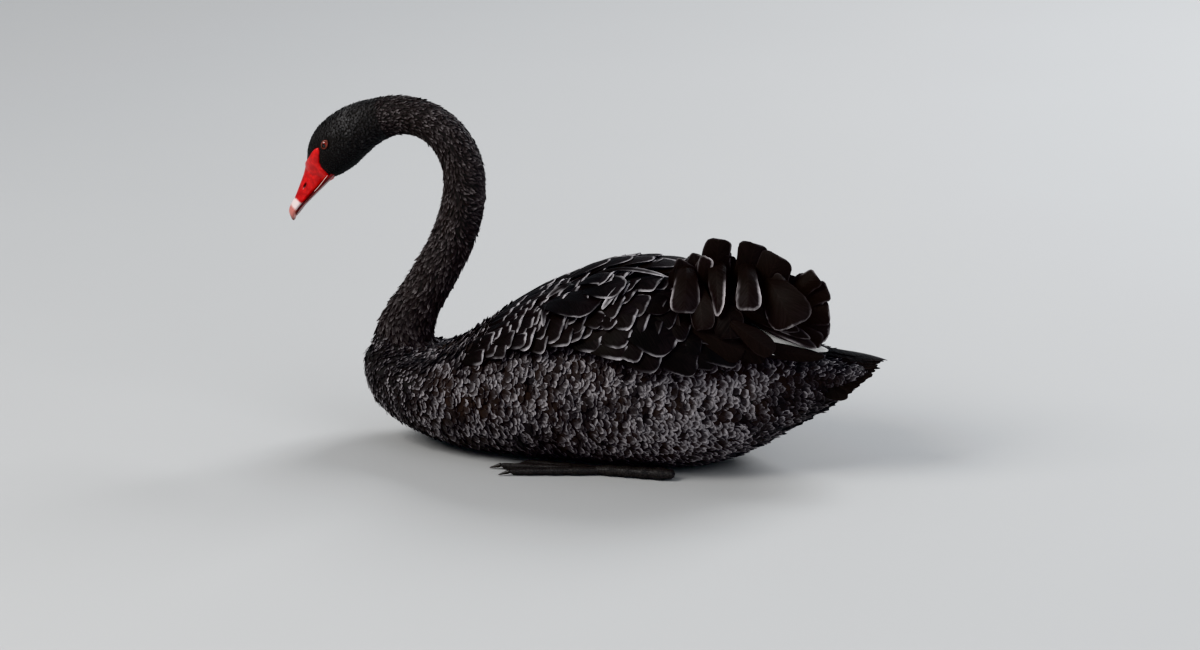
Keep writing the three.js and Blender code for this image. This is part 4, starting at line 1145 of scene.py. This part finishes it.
def bentLines(root, tip, facing, bow, curl, roll, twist, shares):
    # middle lines that bow out between root and tip, and curl on past the tip
    ahead = unit(tip - root)
    up = unit(facing - (facing * ahead).sum(-1, keepdims=True) * ahead)
    side = np.cross(ahead, up)
    t = shares[None, :, None]
    middle = (root + tip) / 2 + 2 * bow[:, None] * up
    centre = (1 - t) ** 2 * root[:, None] + 2 * t * (1 - t) * middle[:, None] + t**2 * tip[:, None]
    centre = centre + up[:, None] * curl[:, None, None] * t**4
    turnBy = roll[:, None, None] + twist[:, None, None] * t
    return frameLines(centre, np.repeat(side[:, None], len(shares), 1), turnBy)


def crowd(rng, root, tip, *others):  # a second, smaller feather behind each
    count = len(root)
    astray = rng.standard_normal((count, 3)) * crest["astray"]
    shorter = root + (tip - root) * rng.uniform(0.84, 0.95, (count, 1)) + astray
    behind = np.array(crest["behind"], float)
    doubled = [np.concatenate([root, root + behind]), np.concatenate([tip, shorter + behind])]
    for value in others:
        moved = value + behind + astray * 0.5 if value.ndim == 2 else value * rng.uniform(0.75, 1.05, count)
        doubled.append(np.concatenate([value, moved]))
    return doubled


def crestMove(own, points):  # the taller a feather, the lower it lies on the side whose crest is smaller
    tall = np.clip((points[:, 2:] - crest["lowest"]) / crest["rise"], 0, 1)
    return own["crestShift"] * np.concatenate([np.maximum(tall, crest["leastMove"]), tall, tall], 1)


def crestFeathers(rng, own):
    rows = list(zip(*crest["standing"]))
    root, tip = np.array(rows[0], float), np.array(rows[1], float)
    width, bow, curl, twist, ripple, pale, blunt = (np.array(row, float) for row in rows[2:])
    shift = crestMove(own, tip)
    root, tip = root + shift * crest["rootDrop"], tip + shift
    root, tip, width, bow, curl, twist, ripple, pale, blunt = crowd(
        rng, root, tip, width, bow, curl, twist, ripple, pale, blunt)
    shares = rowShares(crest["rows"])
    facing = np.broadcast_to(np.array(crest["facing"], float), root.shape)
    roll = 0.09 * rng.standard_normal(len(root))
    lines = bentLines(root, tip, facing, bow, curl, roll, np.radians(twist), shares)
    length = np.linalg.norm(tip - root, axis=1)
    outline = broadTip(shares) + (bluntTip(shares) - broadTip(shares)) * blunt[:, None]
    outline = np.where((width > crest["longTo"])[:, None], outline, longTip(shares))
    form = broadForm(rng, crest, outline, width, length, ripple, shares)
    return lines, form, pale, np.clip((root[:, 0] - 190) / 70, 0.05, 0.7)


def droopingFeathers(rng, own):
    rows = list(zip(*crest["drooping"]))
    root, crown, tip = (np.array(row, float) for row in rows[:3])
    width, twist, ripple, pale = (np.array(row, float) for row in rows[3:])
    shift = crestMove(own, crown)
    root, crown, tip = root + shift * crest["rootDrop"], crown + shift, tip + shift * crest["rootDrop"]
    root, tip, crown, width, twist, ripple, pale = crowd(rng, root, tip, crown, width, twist, ripple, pale)
    shares = rowShares(crest["rows"], 1.2)
    t = shares[None, :, None]
    centre = (1 - t) ** 2 * root[:, None] + 2 * t * (1 - t) * crown[:, None] + t**2 * tip[:, None]
    side = np.cross(unit(tip - crown), np.array(crest["facing"], float))
    turnBy = np.radians(twist)[:, None, None] * t
    lines = frameLines(centre, np.repeat(side[:, None], len(shares), 1), turnBy)
    length = np.linalg.norm(np.diff(centre, axis=1), axis=2).sum(1)
    outline = np.where((width > crest["longDroopTo"])[:, None], bluntTip(shares), longTip(shares))
    form = broadForm(rng, crest, outline, width, length, ripple, shares)
    return lines, form, pale, np.clip(pale * 0.4, 0, 0.3)


def mirrorLines(lines, mirror):
    if mirror > 0:
        return lines
    flip = np.array([1, -1, 1])
    mirrored = {key: value * flip for key, value in lines.items()}
    return {**mirrored, "side": -mirrored["side"]}


def wingPaint(rng, pale, warm):
    place, patch = atlas(len(pale))
    return {
        "luck": rng.random(len(pale)), "pale": np.clip(pale, 0, 1), "place": place, "patch": patch,
        "warm": np.clip(warm + 0.08 * rng.standard_normal(len(pale)), 0, 1),
    }


def buildWings():
    cover = plumeFinish("wingFeathers", {
        **plumeBase, "oneSidedRimHighlight": 0.35, "wear": 0.75, "rimTone": (0.7, 0.66, 0.68),
    })
    raised = plumeFinish("raisedFeathers", {
        **plumeBase, "dark": (0.004, 0.0033, 0.0032), "mid": (0.013, 0.0107, 0.01),
        "light": (0.022, 0.018, 0.017),
    })
    for side, own in sides.items():
        rng = np.random.default_rng(own["seed"])
        nodes, finish = [f"wing_{side}"], cover
        for name, grow in (("Tiers", tierFeathers), ("Scapulars", scapularFeathers), ("Crest", crestFeathers),
                           ("Tertials", droopingFeathers)):
            lines, form, pale, warm = grow(rng, own)
            piece = featherMesh(f"wing{name}_{side}", mirrorLines(lines, own["mirror"]), form,
                                wingPaint(rng, pale, warm), finish)
            dress(piece, nodes)
            nodes, finish = [], raised if name == "Scapulars" else finish


# Flight feathers, white, folded under the raised ones

flight = {
    "root": (152, -94, 185), "tilt": 0.95, "count": 9, "rows": 18, "columns": 9, "width": 15,
    "wavy": 0.03, "camber": 0.26,
}


def buildFlight():
    looks = {**plumeBase, "dark": (0.66, 0.645, 0.62), "mid": (0.78, 0.77, 0.75), "brown": (0.62, 0.59, 0.55),
             "light": (0.56, 0.54, 0.51), "tipTone": (0.8, 0.79, 0.77), "rimTone": (0.8, 0.79, 0.77),
             "streakShare": 0.3}
    white = plumeFinish("whiteFlight", looks)
    tilt = flight["tilt"]
    across = np.array([0, -math.cos(tilt), -math.sin(tilt)])
    facing = np.array([0, -math.sin(tilt), math.cos(tilt)])
    share = np.linspace(0, 1, flight["count"])[:, None]
    base = np.array(flight["root"], float)
    shares = rowShares(flight["rows"])
    for side, own in sides.items():
        rng = np.random.default_rng(own["seed"] + 1)
        root = base + across * 14 * (share - 0.5) + facing * (1.5 - 3 * share)
        tip = base + (np.array(own["flightTip"]) - base) * (1 - 0.3 * share)
        tip = tip + across * (2 + 9 * share) + facing * (1 - 3.5 * share)
        count = flight["count"]
        lines = bentLines(root, tip, np.broadcast_to(facing, root.shape), np.full(count, 1.0),
                          np.zeros(count), np.full(count, 0.05), np.zeros(count), shares)
        length = np.linalg.norm(tip - root, axis=1)
        form = broadForm(rng, flight, longTip(shares), np.full(count, float(flight["width"])), length,
                         np.full(count, 0.3), shares)
        paint = wingPaint(rng, np.full(count, 0.5), 0.0)
        piece = featherMesh(f"flightFeathers_{side}", mirrorLines(lines, own["mirror"]), form, paint, white)
        dress(piece, [f"flight_{side}"])


# Tail: a fan of broad feathers over the wedge of the rump

tail = {
    "wavy": 0.05, "camber": 0.26, "halfCount": 8, "rows": 18, "columns": 9, "width": 21, "layers": 2,
    # x of the middle feather, half the fan's width, and z: at the roots and at the tips
    "root": (256, 34, 147), "tip": (342, 46, 139),
}


def buildTail():
    dark = plumeFinish("tailFeathers", {
        **plumeBase, "rimTone": (0.1, 0.085, 0.08), "rimWidth": 1.8, "tipTone": (0.035, 0.03, 0.028),
    })
    rng = np.random.default_rng(5)
    root, tip, facing, roll, width = [], [], [], [], []
    (rootX, rootY, rootZ), (tipX, tipY, tipZ) = tail["root"], tail["tip"]
    for layer in range(tail["layers"]):
        for i in range(-tail["halfCount"], tail["halfCount"] + 1):
            out = i / tail["halfCount"]
            fall = abs(out) ** 1.4
            root.append((rootX + 4 * fall - 8 * layer, rootY * out, rootZ - 26 * fall + 2 * layer))
            reach = tipX - 30 * fall - 26 * layer + 2 * rng.standard_normal()
            tip.append((reach, tipY * out - 2 * layer * out, tipZ - 36 * fall + 3.5 * layer))
            facing.append((0, out, 1))
            roll.append(0.09 * np.sign(out))
            width.append(tail["width"] * (1 - 0.15 * layer))
    root, tip, facing = (np.array(v, float) for v in (root, tip, facing))
    shares = rowShares(tail["rows"])
    count = len(root)
    lines = bentLines(root, tip, facing, np.full(count, 1.5), np.zeros(count),
                      np.array(roll) + 0.05 * rng.standard_normal(count), np.zeros(count), shares)
    length = np.linalg.norm(tip - root, axis=1)
    form = broadForm(rng, tail, longTip(shares), np.array(width), length, np.full(count, 0.5), shares)
    piece = featherMesh("tailFan", lines, form, wingPaint(rng, np.full(count, 0.4), 0.3), dark)
    dress(piece, ["tail"])


# Head: bill with its bare skin, eyes and lids

billLooks = {
    "voxel": 0.75, "nostril": (29, 3.2), "nostrilSize": (4.2, 1.5), "nostrilDepth": 2.4,
    "bandFrom": 49, "bandTo": 60.5,
}


def billFinish():
    f = Finish("redBill", {"Coat Roughness": 0.25})
    place = f.place()
    ahead, pit = f.mark("ahead"), f.mark("pit")
    patch = f.noise(place, 150.0, 3.0)
    fine = f.noise(place, 900.0, 3.0)
    red = f.mix(f.ramp(patch, 0.32, 0.7), (0.42, 0.003, 0.004), (0.74, 0.014, 0.012))
    red = f.mix(f.ramp(fine, 0.45, 0.8) * 0.4, red, (0.3, 0.003, 0.004))
    edge = (patch - 0.5) * 7.0
    band = f.ramp(ahead + edge, billLooks["bandFrom"] - 1.5, billLooks["bandFrom"] + 2.5)
    nail = f.ramp(ahead + edge * 0.6, billLooks["bandTo"] - 2, billLooks["bandTo"] + 2.5)
    tip = f.ramp(ahead + edge * 0.3, 70, 76)
    colour = f.mix(band, red, (0.86, 0.72, 0.7))
    colour = f.mix(nail, colour, (0.62, 0.2, 0.17))
    colour = f.mix(tip, colour, (0.12, 0.045, 0.04))
    # painted shade: the nostril's pit is painted near black, the shade inside the hole
    colour = f.mix(pit, colour, (0.05, 0.002, 0.002))
    bump = f.bump(fine * 0.6 + patch, 0.35 * mm, 0.6)
    return f.feed(Base_Color=colour, Roughness=0.3 + patch * 0.14, Coat_Weight=0.3, Normal=bump)


def upperRing(share, angle):
    ahead = -12 + (bill["length"] + 12) * (1 - (1 - share) ** 1.5)
    low, high = bill["mouth"](ahead), bill["culmen"](ahead)
    middle = low + (high - low) * 0.2
    s = np.sin(angle)
    over = middle + (high - middle) * power(np.maximum(s, 0), 0.95)
    up = np.where(s > 0, over, middle + (middle - low) * s)
    return billPoint(ahead, -bill["width"](ahead) * power(np.cos(angle), 0.8), up)


def lowerRing(share, angle):
    ahead = -4 + 74 * share
    high = bill["mouth"](ahead) - bill["mouthGap"]
    low = high + (bill["chin"](ahead) - high) * np.interp(ahead, [-4, 18], [1, 0.55])
    up = (high + low) / 2 + (high - low) / 2 * power(np.sin(angle), 0.6)
    width = np.maximum(bill["width"](ahead) - 1.6, 2) * (1 - 0.75 * np.clip((ahead - 62) / 8, 0, 1) ** 2)
    return billPoint(ahead, -width * power(np.cos(angle), 0.7), up)


def buildBill(face):
    sleeve(face, 48, 60, upperRing)
    bm = fuse(face, billLooks["voxel"])
    soften(bm, 3)
    ahead, side, up = billPlace(np.array([v.co for v in bm.verts]) / mm)
    nostril, size = billLooks["nostril"], billLooks["nostrilSize"]
    ring = np.hypot((ahead - nostril[0]) / size[0], (up - nostril[1] + 0.06 * (ahead - nostril[0])) / size[1])
    # the nostril's pit: how deep it is pressed in, and how dark its painted shade is
    pit = np.clip(1.25 - ring, 0, 1) * (np.abs(side) > 5)
    lip = np.exp(-((ring - 1.45) / 0.35) ** 2) * (np.abs(side) > 5)
    for vert, deep, high, s in zip(bm.verts, pit, lip, side):
        vert.co.y -= math.copysign(1, s) * (deep * billLooks["nostrilDepth"] - high * 0.35) * mm
    upper = addPiece("billUpper", bm, billFinish())
    for key, value in (("ahead", ahead), ("pit", np.clip(pit * 1.6, 0, 1))):
        upper.data.attributes.new(key, "FLOAT", "POINT").data.foreach_set("value", value.astype(np.float32))
    dress(upper, ["bill_upper", "bill_band", "bill_nail"])
    f = Finish("lowerBill", {"Coat Roughness": 0.3})
    grain = f.noise(f.place(), 300.0, 3.0)
    up = f.ramp(grain, 0.35, 0.7)
    f.feed(Base_Color=f.mix(up, (0.07, 0.004, 0.004), (0.2, 0.012, 0.012)), Roughness=0.38 + grain * 0.1,
           Coat_Weight=0.25, Normal=f.bump(grain, 0.25 * mm, 0.5))
    bm = bmesh.new()
    sleeve(bm, 40, 40, lowerRing)
    soften(bm, 1)
    dress(addPiece("billLower", bm, f.material), ["bill_lower"])
    print("bill:", len(upper.data.polygons), "faces")


comb = {"from": 1, "to": 27, "count": 30, "size": (0.55, 0.5, 1.5)}


def buildComb():  # the row of pale plates along the edge of the mouth
    f = Finish("mouthEdge", {"Roughness": 0.4})
    grain = f.noise(f.place(), 500.0)
    f.feed(Base_Color=f.mix(grain, (0.7, 0.42, 0.38), (0.9, 0.72, 0.66)))
    bm = bmesh.new()
    for side in (-1, 1):
        for ahead in np.linspace(comb["from"], comb["to"], comb["count"]):
            out = float(bill["width"](ahead)) - 0.9 - 0.02 * (ahead - comb["from"])
            spot = billPoint(ahead, side * out, float(bill["mouth"](ahead)) - 0.5)
            made = bmesh.ops.create_cube(bm, size=1)["verts"]
            wide, thick, tall = comb["size"]
            bmesh.ops.scale(bm, vec=(thick, wide * 2.4, tall), verts=made)
            bmesh.ops.rotate(bm, verts=made, cent=(0, 0, 0), matrix=leanForward(bill["pointsDown"]))
            bmesh.ops.scale(bm, vec=(mm, mm, mm), verts=made)
            bmesh.ops.translate(bm, vec=Vector(spot * mm), verts=made)
    bmesh.ops.bevel(bm, geom=bm.edges, offset=0.15 * mm, segments=2, profile=0.5, affect="EDGES", material=-1)
    dress(addPiece("mouthEdge", bm, f.material), [])


def leanForward(angle):
    return Vector((0, 0, 1)).rotation_difference(Vector((math.sin(angle), 0, math.cos(angle)))).to_matrix()


eyeLooks = {
    "gaze": (0.22, 1, 0.05), "lidAhead": 5.2, "lidUp": 3.6,
    # the lid and the fold round it: name, scale, thickness, how far out, slot
    "rings": [("eyelid", 1.0, 0.85, 0.1, "bill_nail"), ("lidFold", 1.34, 0.95, -1.1, "body_plumage")],
}


def buildEyes():
    f = Finish("redEye", {"Coat Weight": 1.0, "Coat Roughness": 0.02, "Roughness": 0.15})
    gaze = f.mark("gaze")
    spoke = f.noise(f.place(), 1600.0, 2.0)
    iris = f.mix(f.ramp(spoke, 0.3, 0.7), (0.15, 0.012, 0.008), (0.26, 0.028, 0.016))
    iris = f.mix(f.ramp(gaze, 0.62, 0.8), iris, (0.1, 0.01, 0.008))
    colour = f.mix(f.ramp(gaze, 0.4, 0.44), (0.001, 0.001, 0.001), iris)
    f.feed(Base_Color=f.mix(f.ramp(gaze, 0.82, 0.88), colour, (0.03, 0.012, 0.01)))
    g = Finish("eyelid", {"Roughness": 0.5})
    crease = g.noise(g.place(), 1100.0, 3.0)
    wash = g.noise(g.place(), 240.0, 2.0)
    tone = g.mix(g.ramp(wash, 0.35, 0.7), (0.16, 0.045, 0.03), (0.3, 0.1, 0.08))
    g.feed(Base_Color=g.mix(crease * 0.5, tone, (0.05, 0.015, 0.012)), Normal=g.bump(crease, 0.3 * mm, 0.8))
    dark = skinFinish("lidSkin")
    for name, side in (("left", -1), ("right", 1)):
        centre = billPoint(eye["ahead"], side * eye["side"], eye["up"])
        look = unit(np.array(eyeLooks["gaze"]) * (1, side, 1))
        axis = unit(look[0] * billAhead + look[1] * np.array([0, 1, 0]) + look[2] * billUp)
        bm = bmesh.new()
        made = bmesh.ops.create_uvsphere(bm, u_segments=64, v_segments=40, radius=eye["radius"] * mm)["verts"]
        spin = Vector((0, 0, 1)).rotation_difference(Vector(axis)).to_matrix()
        bmesh.ops.rotate(bm, verts=made, cent=(0, 0, 0), matrix=spin)
        turned = unit(np.array([v.co for v in bm.verts]))
        off = np.arccos(np.clip(turned @ axis, -1, 1)) / (math.pi / 3)
        bmesh.ops.translate(bm, vec=Vector(centre * mm), verts=made)
        ball = addPiece(f"eye_{name}Ball", bm, f.material)
        ball.data.attributes.new("gaze", "FLOAT", "POINT").data.foreach_set("value", off.astype(np.float32))
        dress(ball, [f"eye_{name}"])
        for ring, scale, thick, out, slot in eyeLooks["rings"]:
            def lid(share, angle):
                phi = share * turn
                wide, tall = eyeLooks["lidAhead"] * scale, eyeLooks["lidUp"] * scale
                droop = np.where(np.sin(phi) > 0, 1.0, 0.86)
                a = np.cos(phi) * (wide + np.cos(angle) * thick)
                u = power(np.sin(phi), 1.15) * droop * (tall + np.cos(angle) * thick) - 0.12 * a
                bulge = np.sqrt(np.maximum(eye["radius"] ** 2 - (0.8 * a / scale) ** 2 - (u / scale) ** 2, 4))
                y = eye["side"] + bulge + out + np.sin(angle) * thick * 0.8 - 0.01 * a * a
                return billPoint(eye["ahead"] + a, side * y, eye["up"] + u)
            bm = bmesh.new()
            sleeve(bm, 12, 56, lid)
            finish = g.material if ring == "eyelid" else dark
            dress(addPiece(f"{ring}_{name}", bm, finish), [])
    print("eyes and lids")


# Legs and feet, tucked under beside the belly

feet = {
    "heel": (118, -92, 8), "toeRoot": (24, -94, 7), "shank": 7.2,
    "toes": [(-64, -80, 5.4), (-92, -104, 5.4), (-74, -127, 5.4)], "toe": 4.6, "claw": 11,
    "webThick": 1.6, "voxel": 1.15,
}


def limb(bm, start, end, radii, squash=0.86, knuckles=0):
    start, end = np.array(start, float), np.array(end, float)
    run = end - start
    across = unit(np.array([run[1], -run[0], 0.0]))

    def ring(share, angle):
        round_ = np.sqrt(np.clip(1 - (2 * share - 1) ** 10, 0, 1))
        radius = (radii[0] + (radii[1] - radii[0]) * share) * round_
        radius = radius * (1 + 0.1 * np.cos(share * turn * knuckles) * (knuckles > 0))
        points = start + share[:, None] * run + across * (np.cos(angle) * radius)[:, None]
        points[:, 2] = np.maximum(points[:, 2] + np.sin(angle) * radius * squash, 0.2)
        return points

    sleeve(bm, 20, 40, ring)


def footFinish():
    f = Finish("blackFoot", {"Coat Roughness": 0.4, "Coat Weight": 0.1})
    place = f.place()
    scutes = f.add("TexVoronoi", {"feature": "DISTANCE_TO_EDGE"}, {"Vector": place, "Scale": 330.0})
    plate = f.ramp(scutes, 0.02, 0.16)
    wash = f.noise(place, 60.0, 3.0)
    colour = f.mix(wash, (0.012, 0.011, 0.011), (0.045, 0.04, 0.038))
    colour = f.mix(plate, (0.006, 0.005, 0.005), colour)
    return f.feed(Base_Color=colour, Roughness=0.55 + wash * 0.15, Normal=f.bump(plate, 0.5 * mm, 0.7))


def buildFeet():
    material = footFinish()
    clawFinish = Finish("claw", {"Roughness": 0.35})
    grain = clawFinish.noise(clawFinish.place(), 700.0, 2.0)
    clawFinish.feed(Base_Color=clawFinish.mix(grain, (0.008, 0.007, 0.007), (0.03, 0.026, 0.024)))
    root = np.array(feet["toeRoot"], float)
    for side, flip in (("left", 1), ("right", -1)):
        bm = bmesh.new()
        limb(bm, feet["heel"], (root[0] - 4, root[1], root[2]), (feet["shank"] + 1.6, feet["shank"]), 0.8, 5)
        legs = fuse(bm, feet["voxel"])
        soften(legs, 2)
        foot = bmesh.new()
        for tip in feet["toes"]:
            limb(foot, root + (6, 0, -1), tip, (feet["toe"] + 1.4, feet["toe"] - 1.2), 0.9, 4)
        for a, b in zip(feet["toes"], feet["toes"][1:]):
            made = bmesh.ops.create_grid(foot, x_segments=24, y_segments=24, size=0.5)["verts"]
            for vert in made:
                s, t = vert.co.x + 0.5, vert.co.y + 0.5
                tip = np.array(a) + (np.array(b, float) - a) * s
                reach = 0.97 - 0.22 * math.sin(math.pi * s)
                spot = root + (tip - root) * t * reach
                spot[2] = 2.2 + 0.5 * math.sin(s * turn * 3 + t * 5) * t
                vert.co = Vector(spot * mm)
            faces = list({f for v in made for f in v.link_faces})
            bmesh.ops.solidify(foot, geom=faces, thickness=feet["webThick"] * mm)
        foot = fuse(foot, feet["voxel"])
        soften(foot, 1)
        claws = bmesh.new()
        for tip in feet["toes"]:
            ahead = unit(np.array(tip, float) * (1, 1, 0) - root * (1, 1, 0))
            start, end = np.array(tip) - ahead * 3, np.array(tip) + ahead * feet["claw"]
            limb(claws, start + (0, 0, 0.4), end - (0, 0, 3.8), (2.9, 0.6), 1.0)
        for name, made, nodes, finish in (
            (f"leg_{side}Shank", legs, [f"leg_{side}"], material),
            (f"foot_{side}Web", foot, [f"foot_{side}"], material),
            (f"claws_{side}", claws, [], clawFinish.material),
        ):
            if flip < 0:
                bmesh.ops.scale(made, vec=(1, -1, 1), verts=made.verts)
                bmesh.ops.reverse_faces(made, faces=made.faces)
            low = min(v.co.z for v in made.verts)
            if low < 0:
                bmesh.ops.translate(made, vec=(0, 0, -low), verts=made.verts)
            dress(addPiece(name, made, finish), nodes)
    print("feet")


def buildFloor():
    f = Finish("paleFloor", {"Roughness": 0.75, "Specular IOR Level": 0.25})
    grain = f.noise(f.place(), 2.0, 2.0)
    tone = studio["floorTone"]
    f.feed(Base_Color=f.mix(grain, tone, tuple(c * 1.03 for c in tone)))
    bm = bmesh.new()
    bmesh.ops.create_grid(bm, x_segments=1, y_segments=1, size=studio["floorSize"] / 2)
    addPiece("floor", bm, f.material)


buildStudio()
print("camera and lamps")
tree, corners, face = buildSkin(skinFinish("darkSkin"))
buildBill(face)
buildComb()
buildEyes()
buildFeet()
buildCoat(tree, corners)
buildWings()
buildFlight()
buildTail()
buildFloor()
